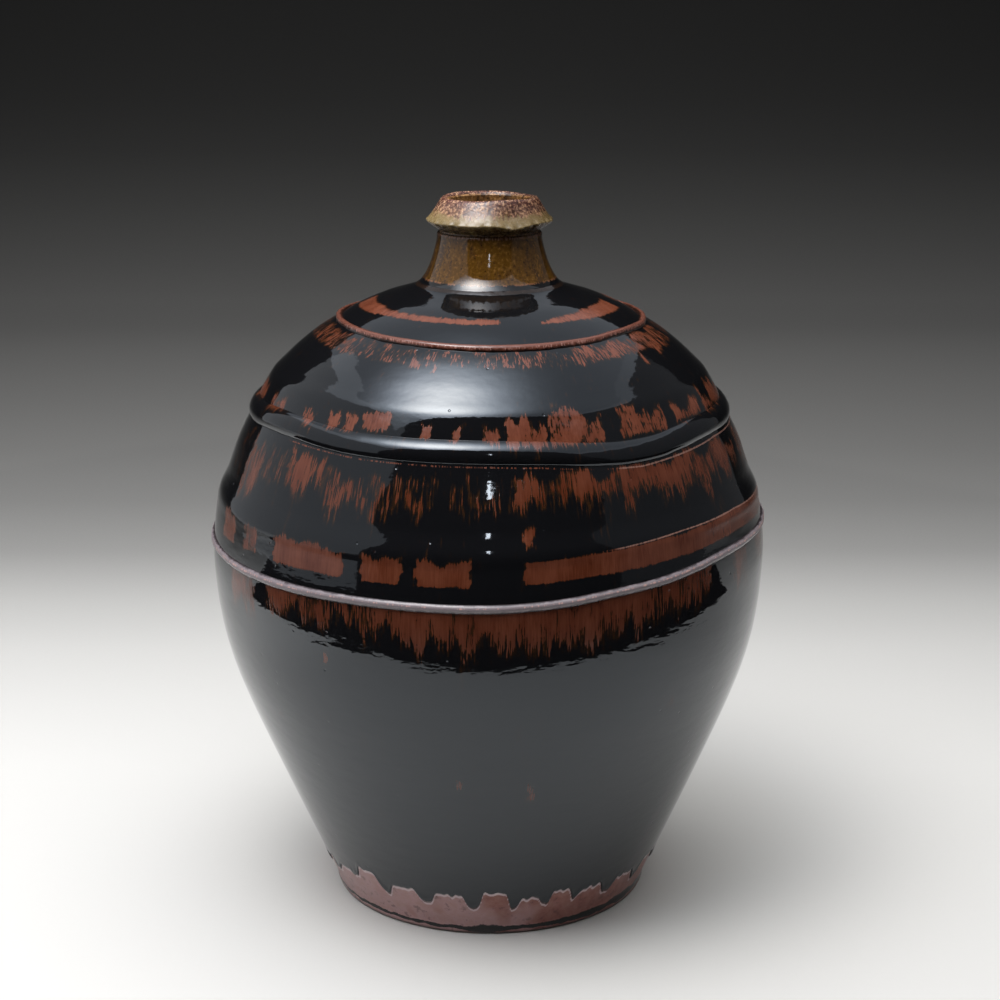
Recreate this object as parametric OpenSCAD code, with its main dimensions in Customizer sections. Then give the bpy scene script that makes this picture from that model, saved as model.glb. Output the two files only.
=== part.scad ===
// Sake bottle: a wide wheel-thrown stoneware bottle with a turned foot, a low
// belly seam, a domed shoulder, a short flaring neck and a conical collar.
// It is built the way a potter builds it: thrown walls luted together at lapped
// seams, cordons laid over the seams, and coats of glaze outside and inside.
// Units are millimetres, +Z is up, and the origin is the centre of the foot.

/* [Foot] */
// Diameter of the clay at the top of the foot ring
foot_d = 136.4; // [132:0.2:140]
// Diameter of the hollow inside the foot ring
foot_hollow_d = 106; // [98:1:112]
// Height of the foot ring
foot_h = 5; // [4:0.5:6]
// Thickness of the floor
floor_t = 9; // [7:0.5:11]

/* [Body] */
// Widest diameter of the clay body
belly_d = 232.4; // [228:0.2:236]
// Height of the widest point above the table
belly_h = 150; // [146:1:152]
// Lean of the straight part of the lower wall, in degrees from upright
lower_lean = 23.2; // [22.8:0.1:24]
// Height of the lower wall, from the foot ring to the belly seam
lower_h = 155; // [153:1:160]
// Height of the waist wall, from the belly seam to the shoulder edge
waist_h = 54; // [52:1:56]
// Height of the dome, from the shoulder edge to the shoulder cordon
dome_h = 34; // [33:0.5:36]
// Height of the cap, from the shoulder cordon to the foot of the neck
cap_h = 16; // [14:0.5:18]
// Diameter of the soft step on the waist
step_d = 224.8; // [222:0.2:226]
// Diameter of the clay at the shoulder edge
edge_d = 196.4; // [194:0.2:198]
// Diameter of the clay under the shoulder cordon
shoulder_d = 128.4; // [124:0.2:134]
// Thickness of the body wall
wall = 6; // [5:0.25:6.5]

/* [Neck and mouth] */
// Diameter of the clay at the foot of the neck
neck_foot_d = 55; // [52:0.5:58]
// Diameter of the clay at the top of the neck
neck_top_d = 41.8; // [41:0.2:44]
// Height of the neck, from its foot to the seat of the collar
neck_h = 23; // [20:1:28]
// Diameter of the straight bore of the mouth
bore_d = 32; // [30:0.5:33]
// Diameter of the clay at the collar's lip
collar_d = 50.8; // [48:0.2:54]
// Height of the collar, from its seat to the clay of the rim
collar_h = 12.2; // [11:0.2:14]

/* [Glaze] */
// Thickness of the glaze on the outside
glaze_t = 0.8; // [0.5:0.1:1]
// Thickness of the iron wash on the foot
wash_t = 0.4; // [0.3:0.1:0.4]
// Thickness of the glaze that lines the inside
liner_t = 0.6; // [0.4:0.1:1]
// Height above the table where the outer glaze stops in drips
drip_h = 16; // [12:1:20]

/* [Cordons] */
// How far the belly cordon stands out of the glaze
belly_cordon_rise = 1.2; // [0.4:0.1:1.2]
// How far the shoulder edge bead stands out of the glaze
edge_bead_rise = 1.5; // [1:0.1:1.6]
// How far the shoulder cordon stands out of the glaze
shoulder_cordon_rise = 1.4; // [0.4:0.1:1.4]

/* [Hidden] */
$fn = 180;

// Colours of the clay and of the glazes
clay_colour = [0.46, 0.35, 0.29];
black_colour = [0.07, 0.06, 0.06];
rust_colour = [0.42, 0.22, 0.16];
mauve_colour = [0.45, 0.33, 0.31];
amber_colour = [0.31, 0.19, 0.09];
ash_colour = [0.68, 0.60, 0.45];

// Heights of the seams above the table
belly_seam_h = foot_h + lower_h;
edge_seam_h = belly_seam_h + waist_h;
shoulder_seam_h = edge_seam_h + dome_h;
neck_seam_h = shoulder_seam_h + cap_h;
collar_seat_h = neck_seam_h + neck_h;
rim_h = collar_seat_h + collar_h;

// Half widths of the cordons, measured along the wall
belly_cordon_half = 2;
edge_bead_half = 4.4;
shoulder_cordon_half = 2.2;
neck_fillet_half = 1.4;
neck_fillet_rise = 0.6;

// Height of the lap at each seam, where the inner half of the wall stands up
lap = 3;
// Lean of the wall at the belly, edge and shoulder seams
belly_seam_lean = 4;
edge_seam_lean = 25;
shoulder_seam_lean = 62;
// Radius of the floor, inside the foot of the lower wall
floor_r = 60;
// Steps in each curved stretch of the outline
steps = 12;

// ---- Outline tools. A point is [radius, height]. ----

// Direction up a wall that leans in by a number of degrees
function up(lean) = [-sin(lean), cos(lean)];

// Direction straight out of a wall that leans in by a number of degrees
function out(lean) = [cos(lean), sin(lean)];

// Round stretch from a to b that stands out of the straight line by rise
function bow(a, b, rise, n = steps) =
    let (
        chord = norm(b - a),
        along = (b - a) / chord,
        side = [along.y, -along.x] * sign(rise),
        height = abs(rise),
        radius = (chord * chord / 4 + height * height) / (2 * height),
        centre = (a + b) / 2 + side * (height - radius),
        half = atan2(chord / 2, radius - height)
    )
    [for (k = [0:n])
        let (angle = -half + 2 * half * k / n)
        centre + radius * (sin(angle) * along + cos(angle) * side)];

// Unit normal to the right of the way from a to b
function side_of(a, b) = [b.y - a.y, a.x - b.x] / norm(b - a);

// The same outline moved sideways by d, to its right
function shift(path, d) =
    let (last = len(path) - 1)
    [for (i = [0:last])
        let (
            before = side_of(path[max(i - 1, 0)], path[max(i, 1)]),
            after = side_of(path[min(i, last - 1)], path[min(i + 1, last)])
        )
        path[i] + d * (before + after) / (1 + before * after)];

// The same outline in the opposite order
function reversed(path) = [for (i = [len(path) - 1:-1:0]) path[i]];

// All points but the first
function tail(path) = [for (i = [1:len(path) - 1]) path[i]];

// All points but the last
function head(path) = [for (i = [0:len(path) - 2]) path[i]];

// Straight taper and the round belly that it runs into without a corner
function taper_and_belly(start, belly, lean, end_h) =
    let (
        rise = belly.y - start.y,
        radius = (start.x + rise * tan(lean) - belly.x) / (1 / cos(lean) - 1),
        top = asin((end_h - belly.y) / radius)
    )
    concat([start], [for (k = [0:steps])
        let (angle = -lean + (lean + top) * k / steps)
        [belly.x - radius + radius * cos(angle), belly.y + radius * sin(angle)]]);

// Height h on the straight line from a to b
function at_height(a, b, h) = a + (b - a) * (h - a.y) / (b.y - a.y);

// ---- Outer face of the clay, from the foot to the rim ----

foot_r = foot_d / 2;
lower_outer = taper_and_belly(
    [foot_r, foot_h], [belly_d / 2, belly_h], lower_lean,
    belly_seam_h - belly_cordon_half);
below_belly = lower_outer[len(lower_outer) - 1];
belly_seam = below_belly + belly_cordon_half * up(belly_seam_lean);
above_belly = belly_seam + belly_cordon_half * up(belly_seam_lean);

edge_seam = [edge_d / 2, edge_seam_h];
below_edge = edge_seam - edge_bead_half * up(edge_seam_lean);
above_edge = edge_seam + edge_bead_half * up(edge_seam_lean);
step_edge = [step_d / 2, belly_seam_h + 0.38 * waist_h];
waist_outer = concat(bow(above_belly, step_edge, 0.5), [below_edge]);

shoulder_seam = [shoulder_d / 2, shoulder_seam_h];
below_shoulder = shoulder_seam - shoulder_cordon_half * up(shoulder_seam_lean);
above_shoulder = shoulder_seam + shoulder_cordon_half * up(shoulder_seam_lean);
dome_spring = above_edge + 9 * up(30);
dome_outer = concat([above_edge], bow(dome_spring, below_shoulder, 1.6));

neck_seam = [neck_foot_d / 2, neck_seam_h];
below_neck = neck_seam - neck_fillet_half * up(76);
above_neck = neck_seam + neck_fillet_half * up(18);
cap_outer = bow(above_shoulder, below_neck, 0.9);

collar_seat = [18.1, collar_seat_h];
neck_top = [neck_top_d / 2, collar_seat_h - 1.6];
neck_straight = neck_top - [0, 4];
throat = [neck_top.x - 0.6, collar_seat_h];
neck_flare = bow(above_neck, neck_straight, -1.1);
neck_outer = concat(neck_flare, bow(neck_top, throat, 0.2, 4));

// ---- Inner face of the clay ----

// Where the inner half of a lapped seam ends on the inner face
function lap_end(seam, lean, thickness) = seam - thickness * out(lean) + lap * up(lean);

// The stepped face of a lapped seam, from the outer face to the inner one
function lap_face(seam, lean, thickness) =
    let (middle = seam - thickness / 2 * out(lean))
    [seam, middle, middle + lap * up(lean), lap_end(seam, lean, thickness)];

floor_top = foot_h + floor_t;
wall_foot = [foot_r + 0.8, floor_top + 10];
belly_lap = lap_end(belly_seam, belly_seam_lean, wall);
edge_lap = lap_end(edge_seam, edge_seam_lean, wall);
shoulder_lap = lap_end(shoulder_seam, shoulder_seam_lean, wall);
lower_inner = concat(
    bow([floor_r, floor_top], wall_foot, 1.6, 6),
    tail(taper_and_belly(wall_foot, [belly_d / 2 - wall - 0.5, belly_h], lower_lean, belly_lap.y - 2)),
    [belly_lap]);
waist_inner = bow(belly_lap, edge_lap, 2);
dome_inner = bow(edge_lap, shoulder_lap, 3.2);

// The neck's spigot stands in the cap's hole on a ledge
spigot = 2.5;
hole_r = neck_seam.x - 7;
neck_face = [neck_seam, neck_seam - [3.5, 0], neck_seam - [3.5, spigot], [hole_r, neck_seam_h - spigot]];
hole_foot = [hole_r, neck_seam_h - 5.5];
cap_inner = concat(bow(shoulder_lap, hole_foot + [4, -1], 1.4), [hole_foot]);

bore_r = bore_d / 2;
bore_foot = [bore_r, neck_seam_h + 8];
lip_chamfer = 0.5;
neck_inner = concat(
    bow([hole_r, neck_seam_h - spigot], bore_foot, -0.5, 8),
    [[bore_r, rim_h - lip_chamfer], [bore_r + lip_chamfer, rim_h]]);

// ---- Solids of revolution ----

// Solid turned from a closed outline
module turned(outline) {
    rotate_extrude() polygon(outline);
}

// Thrown wall between an outer and an inner face, with its seams
module thrown(outer, top, inner, bottom) {
    color(clay_colour) turned(concat(bottom, outer, top, reversed(inner)));
}

// Coat of glaze of even thickness on an outline
module coat(path, thickness, colour) {
    color(colour) turned(concat(path, reversed(shift(path, thickness))));
}

// Cordon laid over a seam, from a to b, with its crown at a height over the clay
module cordon(a, seam, b, rise, colour) {
    color(colour) turned(concat([a, seam], reversed(bow(a, b, rise))));
}

// Foot ring, turned flat underneath with softened edges
module foot_ring() {
    bevel = 1.5;
    inner_r = foot_hollow_d / 2;
    color(clay_colour) turned([
        [inner_r, bevel], [inner_r + bevel, 0], [foot_r - bevel, 0],
        [foot_r, bevel], [foot_r, foot_h], [inner_r, foot_h]]);
}

// Round floor that stands on the foot ring
module floor_disc() {
    color(clay_colour) translate([0, 0, foot_h]) cylinder(h = floor_t, r = floor_r);
}

module lower_wall() {
    thrown(
        lower_outer,
        lap_face(belly_seam, belly_seam_lean, wall),
        head(lower_inner),
        [[floor_r, foot_h]]);
}

module waist_wall() {
    thrown(
        waist_outer,
        lap_face(edge_seam, edge_seam_lean, wall),
        head(tail(waist_inner)),
        reversed(lap_face(belly_seam, belly_seam_lean, wall)));
}

module shoulder_dome() {
    thrown(
        dome_outer,
        lap_face(shoulder_seam, shoulder_seam_lean, wall),
        head(tail(dome_inner)),
        reversed(lap_face(edge_seam, edge_seam_lean, wall)));
}

module shoulder_cap() {
    thrown(
        cap_outer,
        neck_face,
        tail(cap_inner),
        reversed(lap_face(shoulder_seam, shoulder_seam_lean, wall)));
}

// Neck with its spigot below, its bore, and the seat of the collar above
module neck_tube() {
    thrown(
        neck_outer,
        [collar_seat, [collar_seat.x, rim_h]],
        tail(neck_inner),
        reversed(neck_face));
}

// Conical collar that sits on the neck around the mouth
collar_lip = [collar_d / 2, collar_seat_h + 3];
collar_brow = [collar_seat.x + 0.4, rim_h - 0.4];
collar_face = concat(
    bow(collar_lip - [0.4, 0.5], collar_lip + [-0.3, 0.6], 0.25, 4),
    bow(collar_lip + [-0.8, 1.2], collar_brow, -0.2, 6));

module mouth_collar() {
    color(clay_colour) turned(concat(
        [collar_seat, throat], collar_face, [[collar_seat.x, rim_h]]));
}

// ---- Cordons ----

module belly_cordon() {
    cordon(below_belly, belly_seam, above_belly, glaze_t + belly_cordon_rise, mauve_colour);
}

module edge_bead() {
    cordon(below_edge, edge_seam, above_edge, glaze_t + edge_bead_rise, black_colour);
}

module shoulder_cordon() {
    cordon(
        below_shoulder, shoulder_seam, above_shoulder,
        glaze_t + shoulder_cordon_rise, rust_colour);
}

module neck_fillet() {
    cordon(below_neck, neck_seam, above_neck, neck_fillet_rise, rust_colour);
}

// ---- Glazes ----

// The straight taper, from the foot ring to where the outer glaze stops
drip_line = at_height(lower_outer[0], lower_outer[1], drip_h);

module foot_wash() {
    coat([lower_outer[0], drip_line], wash_t, mauve_colour);
}

module lower_glaze() {
    coat(concat([drip_line], tail(lower_outer)), glaze_t, black_colour);
}

module waist_glaze() {
    coat(waist_outer, glaze_t, black_colour);
}

module dome_glaze() {
    coat(dome_outer, glaze_t, black_colour);
}

module cap_glaze() {
    coat(cap_outer, glaze_t, black_colour);
}

// The neck's glaze stops at its rounded top edge, under the collar
module neck_glaze() {
    coat(concat(neck_flare, [neck_top]), glaze_t, amber_colour);
}

// Ash glaze over the collar and the rim, stopping short of the bore
module collar_glaze() {
    rim = [[collar_seat.x, rim_h], [bore_r + lip_chamfer, rim_h]];
    coat(concat(collar_face, rim), glaze_t, ash_colour);
}

// Glaze poured inside, from the floor up to the foot of the neck
module liner_glaze() {
    inside = concat(
        [[0, floor_top]], lower_inner, tail(waist_inner), tail(dome_inner), tail(cap_inner));
    coat(inside, -liner_t, amber_colour);
}

foot_ring();
floor_disc();
lower_wall();
waist_wall();
shoulder_dome();
shoulder_cap();
neck_tube();
mouth_collar();
belly_cordon();
edge_bead();
shoulder_cordon();
neck_fillet();
foot_wash();
lower_glaze();
waist_glaze();
dome_glaze();
cap_glaze();
neck_glaze();
collar_glaze();
liner_glaze();
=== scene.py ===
"""Sake bottle thrown in stoneware, with black glaze that breaks to rust.

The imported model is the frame. Each coat of glaze and each cordon is spun on a
wheel made of Geometry Nodes, then touched up by hand in mesh code and painted
with fields that the glaze materials read. Lengths are in metres.
"""

import math

import bmesh
import bpy
import numpy as np
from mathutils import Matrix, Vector


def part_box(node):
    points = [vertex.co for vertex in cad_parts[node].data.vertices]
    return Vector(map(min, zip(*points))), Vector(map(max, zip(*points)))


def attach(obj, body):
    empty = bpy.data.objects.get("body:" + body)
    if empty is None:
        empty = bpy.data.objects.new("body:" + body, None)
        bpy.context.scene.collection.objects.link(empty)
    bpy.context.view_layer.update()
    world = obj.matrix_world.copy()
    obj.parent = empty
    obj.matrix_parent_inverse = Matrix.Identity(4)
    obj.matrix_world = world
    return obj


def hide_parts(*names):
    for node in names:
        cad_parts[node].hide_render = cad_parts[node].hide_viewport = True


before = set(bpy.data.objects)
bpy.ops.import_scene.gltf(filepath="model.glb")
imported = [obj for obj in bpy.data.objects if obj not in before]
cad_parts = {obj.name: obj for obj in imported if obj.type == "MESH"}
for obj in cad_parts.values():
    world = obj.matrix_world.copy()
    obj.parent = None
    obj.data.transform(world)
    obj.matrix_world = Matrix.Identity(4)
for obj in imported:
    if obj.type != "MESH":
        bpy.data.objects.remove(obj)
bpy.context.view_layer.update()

bl_info = {
    "name": "Sake Bottle",
    "version": (1, 0, 0),
    "blender": (4, 5, 0),
    "location": "View3D > Sidebar > Sake Bottle",
    "description": "Glazes a thrown stoneware bottle and lays its cordons",
    "category": "Object",
}

MM = 0.001


def middle(node):
    """Height of the middle of a CAD node."""
    low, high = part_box(node)
    return (low.z + high.z) / 2


# Heights of the cordons, and of the step between the first two
BELLY = middle("belly_cordon")
EDGE = middle("edge_bead")
SHOULDER = middle("shoulder_cordon")
NECK_FOOT = middle("neck_fillet")
NECK_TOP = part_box("neck_glaze")[1].z
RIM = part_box("collar_glaze")[1].z
STEP = BELLY + 20 * MM

# The collar's outline: height, radius, and 1 on its outer skin
COLLAR = (
    (286.0, 20.4, 1), (286.7, 21.2, 1), (287.4, 22.2, 1), (288.2, 23.5, 1), (289.0, 24.7, 1),
    (289.7, 25.5, 1), (290.2, 26.0, 1), (290.6, 26.2, 1), (291.0, 26.0, 1), (291.6, 25.4, 1),
    (292.4, 24.7, 1), (293.4, 24.0, 1), (294.6, 23.1, 1), (296.0, 22.2, 1), (297.3, 21.4, 1),
    (298.3, 20.8, 1), (299.1, 20.3, 1), (299.7, 19.7, 1), (300.0, 19.0, 1), (299.8, 18.1, 1),
    (299.2, 17.3, 1), (298.2, 16.6, 1), (296.8, 16.1, 1), (295.0, 15.8, 1), (293.0, 15.7, 1),
    (290.5, 15.75, 1), (288.0, 15.8, 1), (285.0, 15.85, 1), (281.0, 15.9, 1), (277.0, 15.95, 1),
    (274.0, 16.2, 0), (277.0, 16.6, 0), (281.0, 16.8, 0), (284.6, 17.4, 0), (285.2, 19.0, 0))
COLLAR_TOP = 300

# The glazed wall from the table to the collar: height and radius in millimetres
WALL = (
    (0, 68.3), (5, 69.1), (20, 75.6), (50, 88.6), (80, 101.2), (93, 106.3), (105, 110.5),
    (118, 113.9), (130, 115.9), (140, 116.9), (150, 117.4), (160, 117.0), (168, 116.1),
    (174, 115.2), (178, 114.6), (181, 113.6), (184.5, 111.8), (187.5, 110.4), (192, 108.8),
    (200, 105.8), (207, 102.5), (214, 98.9), (220, 95.9), (225.5, 92.8), (228.5, 90.8),
    (232, 87.3), (238, 80.9), (244, 73.3), (249, 65.2), (254, 56.6), (258.5, 46.4), (261.5, 37.0),
    (263.4, 31.5), (264.8, 29.5), (266.8, 27.8), (269.4, 26.2), (273, 24.6), (277, 23.3),
    (282, 22.1), (285.4, 21.8), (288, 21.7))

# How high each cordon runs around the bottle: degrees from the front, millimetres
BELLY_RUN = (
    (-180, 160), (-150, 161), (-115, 159.6), (-75, 158.6), (-50, 158), (-25, 158.2), (0, 158.2),
    (10, 159), (24, 161.5), (35, 163), (45, 165), (60, 167.2), (80, 167.2), (110, 165),
    (145, 162), (180, 160))
STEP_RUN = (
    (-180, 179), (-120, 180.5), (-75, 179.5), (-40, 178.2), (0, 176.6), (16, 177.4), (26, 178.4),
    (41, 180.5), (60, 181.6), (76, 180.5), (120, 179), (180, 179))
EDGE_RUN = (
    (-180, 213.5), (-120, 213), (-74, 214.4), (-56, 215.6), (-41, 214.6), (-30, 213.8),
    (0, 213.6), (11, 213), (25, 210.8), (35, 210), (48, 211.4), (63, 212.9), (78, 212.7),
    (130, 214), (180, 213.5))
SHOULDER_RUN = (
    (-180, 249.6), (-120, 250), (-76, 250.6), (-32, 249.2), (0, 248.3), (38, 249), (55, 249.8),
    (79, 249.6), (130, 250.4), (180, 249.6))
RUNS = {"belly": (BELLY, BELLY_RUN), "step": (STEP, STEP_RUN), "edge": (EDGE, EDGE_RUN),
        "shoulder": (SHOULDER, SHOULDER_RUN)}

# How far a cordon can wander, how far apart the throwing rings lie, and how near two points
# of the spun wall have to be to become one
RUN_RANGE = 20 * MM
RING_SPACING = 7 * MM
WELD = 0.005 * MM

# Where rust breaks through the black. A patch is: first and last degree, low side at
# each, high side at each, softness of the low and high side, and how full it is.
# The rust that hangs from the belly cordon leaves out what is the same in all its patches.
HANGING_RUST = (
    (-63, -53, 146, 147, 11, 0.64), (-48.5, -33, 151, 149, 7, 0.64), (-33, -20, 152, 151, 8, 0.58),
    (-22, -12, 150, 145, 8, 0.74), (-13, 12, 146, 145.5, 10, 0.78), (11, 30, 145.5, 150.5, 10, 0.8),
    (29, 48.5, 150, 155, 8, 0.75), (57, 64, 153, 155, 10, 0.6), (70, 96, 160, 154, 10, 0.85),
    (96, 131, 154, 147, 11, 1), (137, 171, 148, 150, 10, 0.9), (-176, -150, 150, 153, 10, 0.95),
    (-150, -118, 153, 144, 11, 1), (-111, -84, 148, 150, 10, 0.8))
RUST_UNDER_BELLY = tuple(
    (start, stop, low_a, low_b, 175, 175, soft, 2, full)
    for start, stop, low_a, low_b, soft, full in HANGING_RUST)

# Small rust spots on the black below: degrees, low and high side, softness and fullness
SPECKS = tuple(
    (start, stop, low, low, high, high, soft, soft, full)
    for start, stop, low, high, soft, full in (
        (8.4, 10.2, 72, 79.5, 2, 0.86), (-7.6, -6.4, 79, 83, 2, 0.75),
        (39.4, 40.4, 108, 116, 3, 0.6), (-34, -33.2, 131, 134, 2, 0.8),
        (-51.5, -50.8, 97, 99, 1, 0.8), (121, 123, 66, 72, 2, 0.8),
        (-138, -136.5, 88, 96, 2, 0.8), (166, 167.2, 110, 116, 2, 0.75)))

RUST_UNDER_STEP = (
    (-69.5, -62.5, 166.8, 166.4, 178, 177.5, 0.4, 1.8, 0.86),
    (-58, -53, 166.6, 166.6, 176.5, 176.5, 0.4, 1.8, 0.8),
    (-47, -29, 166.4, 166.3, 177.2, 176.4, 0.35, 1.6, 1),
    (-25, -17, 166.3, 166.3, 176, 176, 0.4, 1.6, 0.97),
    (-14, -4, 166.3, 166.4, 175.6, 175.8, 0.4, 1.6, 1),
    (6.5, 27, 167.4, 169.4, 175.6, 178, 0.35, 0.5, 1),
    (26, 61, 169.4, 173, 178, 181.4, 0.35, 0.4, 1),
    (60, 84, 173, 171.6, 181.4, 180.4, 0.35, 0.5, 1),
    (90, 128, 170.5, 168, 179.5, 178, 0.4, 0.8, 1),
    (133, 141, 167.6, 167.4, 177.5, 177, 0.4, 1.6, 0.85),
    (146, 174, 167.4, 166.8, 177.5, 177.8, 0.4, 1.6, 1),
    (-178, -160, 166.8, 167, 178, 178, 0.4, 1.6, 0.95),
    (-156, -128, 167.2, 167.8, 178.4, 179, 0.4, 0.9, 1),
    (-121, -113, 167.6, 167.4, 178.6, 178.2, 0.4, 1.6, 0.85),
    (-107, -82, 167.2, 166.8, 178.4, 178.2, 0.4, 1.6, 0.97),
    (6.6, 8.6, 181, 181, 187, 187, 2, 2, 0.9))
RUST_UNDER_EDGE = (
    (-76, -69, 197, 197, 208, 208, 8, 3, 0.36), (-67, -59, 190, 192, 206, 205, 8, 4, 0.48),
    (-58, -50, 199, 199, 206, 206, 6, 3, 0.3), (-49, -38, 198.5, 198, 208, 207, 8, 3, 0.74),
    (-38, -26, 195, 196, 204, 203, 8, 3, 0.47), (-26, -15, 196, 196, 203, 203, 8, 3, 0.43),
    (-15, 5, 197, 197, 203, 204, 6, 3, 0.26), (5, 26, 199, 198.5, 206, 206, 8, 2.5, 0.64),
    (25, 50, 198.5, 198.5, 206, 207, 8, 2, 0.72), (50, 72, 197.5, 199, 207, 206, 9, 2.5, 0.66),
    (76, 104, 197, 195, 206, 207, 8, 3, 0.7), (110, 148, 195, 193, 207, 206, 9, 2.5, 0.9),
    (151, 176, 197, 198, 205, 204, 6, 3, 0.55), (-178, -160, 198, 196, 204, 206, 8, 3, 0.5),
    (-157, -120, 196, 194, 207, 206, 9, 2.5, 0.88), (-112, -86, 198, 197, 206, 206, 8, 3, 0.66))
RUST_FLAMES = (
    (-50, -46, 219, 219, 223, 223, 2, 2, 0.72), (-41.5, -38, 219, 219, 225, 225, 2, 2, 0.82),
    (-36, -33, 219, 219, 224, 225, 2, 2, 0.8), (-31, -24, 220.5, 220.5, 227, 226, 2, 1.6, 0.95),
    (-16, -13.5, 219, 219, 223, 223, 2, 2, 0.8), (-9, -7, 219, 219, 224, 224, 2, 2, 0.75),
    (-1.5, 2, 218, 218, 223.5, 223, 2, 2, 0.85), (4, 13, 217, 216, 225, 226, 2, 3, 0.72),
    (14, 27, 216.5, 217, 227, 227.5, 2, 3, 0.72), (32, 46, 217.5, 217.5, 226, 225, 2, 3, 0.64),
    (50, 62, 218.5, 219, 224.5, 224, 2, 2, 0.8), (65, 86, 218.5, 219, 226, 225, 2, 3, 0.93),
    (92, 104, 219, 219, 226, 225, 2, 3, 0.9), (110, 129, 218.5, 219, 227, 226, 2, 3, 0.95),
    (134, 139, 219, 219, 224, 224, 2, 2, 0.8), (146, 168, 219, 219, 226, 227, 2, 3, 0.93),
    (-176, -163, 219, 219, 226, 225, 2, 3, 0.9), (-156, -149, 219, 219, 224, 225, 2, 2, 0.85),
    (-140, -118, 219, 219, 227, 226, 2, 3, 0.93), (-110, -103, 219, 219, 224, 224, 2, 2, 0.8),
    (-94, -76, 219, 220, 226, 225, 2, 2, 0.85), (-68, -60, 220, 220, 224, 224, 2, 2, 0.6))
RUST_UNDER_SHOULDER = (
    (-180, -140, 243.8, 244, 247.6, 247.8, 1.6, 1, 0.42),
    (-140, -80, 244, 244.4, 248, 248.4, 1.6, 1, 0.32),
    (-80, -52, 244.6, 244, 248.6, 248, 1.6, 1, 0.44),
    (-52, -30, 244.2, 243.4, 248, 247, 1.6, 1, 0.34),
    (-30, 28, 243.4, 243, 246.6, 246.2, 1.6, 1, 0.34),
    (28, 63, 242.6, 243.8, 247, 248, 1.6, 1, 0.54),
    (63, 78, 242, 243, 248, 248, 2, 1, 0.5), (78, 120, 243.6, 244, 247.6, 248.4, 1.6, 1, 0.34),
    (120, 180, 243, 243.6, 248, 247.6, 1.6, 1, 0.52),
    (-24.6, -21.4, 241.8, 241.8, 244.6, 244.6, 1, 1, 0.8),
    (-17, -15.6, 240.6, 240.6, 243, 243, 1, 1, 0.75), (52, 53.6, 239, 239, 243, 243, 1, 1, 0.75))
RUST_ON_CAP = (
    (-94, -60, 255, 255.4, 258.4, 257.8, 0.3, 0.4, 1),
    (-61, 4, 255.7, 255.5, 257.4, 256.9, 0.3, 0.5, 1),
    (22, 50, 255.2, 255.2, 256.1, 257.7, 0.4, 0.5, 1),
    (49, 80, 255.1, 255.1, 257.8, 258.4, 0.4, 0.4, 1),
    (96, 150, 255.2, 255.3, 257.6, 257.4, 0.35, 0.4, 0.95),
    (-176, -112, 255.3, 255.2, 257.7, 257.5, 0.35, 0.4, 1))

# Foot: where the mauve wash peaks between two drips, and how low each drip hangs
DRIP_PEAKS = (
    (-172, 19), (-158, 23), (-141, 20), (-128, 18), (-113, 22), (-98, 19), (-84, 21), (-68, 18),
    (-56, 19), (-43, 23.5), (-29, 20.5), (-13, 20.5), (2, 22.5), (13, 18.5), (23, 20.5),
    (34, 18.5), (50, 17.8), (64, 20), (79, 18), (93, 22), (107, 19), (119, 21), (136, 18),
    (149, 22), (163, 20), (174, 18))
DRIP_TIPS = (
    13, 15, 12.5, 16, 12, 15, 11.5, 14, 17, 15, 14.2, 13.2, 13.4, 14, 15, 12.4, 12.6, 15, 12, 14,
    16, 12, 15, 13, 16, 14.5)


# ---- The stage: camera, paper and lamps ----

CAMERA_PLACE = (0.0, -0.858, 0.3963)
CAMERA_TURN = math.radians(-0.29)

# How far back the paper lies flat, the radius of its sweep, and its height
FLAT_RUN = 1.4
SWEEP = 0.8
PAPER_TOP = 3.2

# How pale the paper is painted, as a painted fall-off of light from the bottle's foot to 3 m away:
# place on the way, share of white
PAPER_TONES = (
    (0.04, 1), (0.071, 0.93), (0.1, 0.85), (0.132, 0.7), (0.17, 0.463), (0.215, 0.362),
    (0.27, 0.321), (0.336, 0.303), (0.419, 0.295), (0.51, 0.267), (0.572, 0.201),
    (0.625, 0.146), (0.672, 0.1), (0.717, 0.076), (0.75, 0.067), (0.78, 0.062), (0.93, 0.037),
    (1, 0.03))

# Centre, what it faces, size and tint of each lamp. The cards and the strip share a cool tint.
COOL = (0.965, 0.99, 1.03)
LAMPS = {
    "softbox": ((-0.05, 0.24, 1.12), (-0.05, 0.24, 0), (1.8, 2.0), (1, 1, 1)),
    "fill": ((-0.1, 0.06, 1.2), (-0.1, 0.06, 0), (1.9, 1.68), (1.02, 0.995, 0.955)),
    "left_card": ((-0.72, 0.0, 0.53), (0, 0.0, 0.4), (1.3, 0.94), COOL),
    "right_card": ((0.72, 0.0, 0.53), (0, 0.0, 0.4), (1.3, 0.94), COOL),
    "window_strip": ((0.0, -0.8, 0.645), (0, 0, 0.25), (0.018, 0.14), COOL)}
STRIP_RADIANCE = 15.0

# Where the softbox is brightest
HOT_SPOT = (-0.31, -0.37, 1.12)


# ---- Helpers for node trees ----

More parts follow.
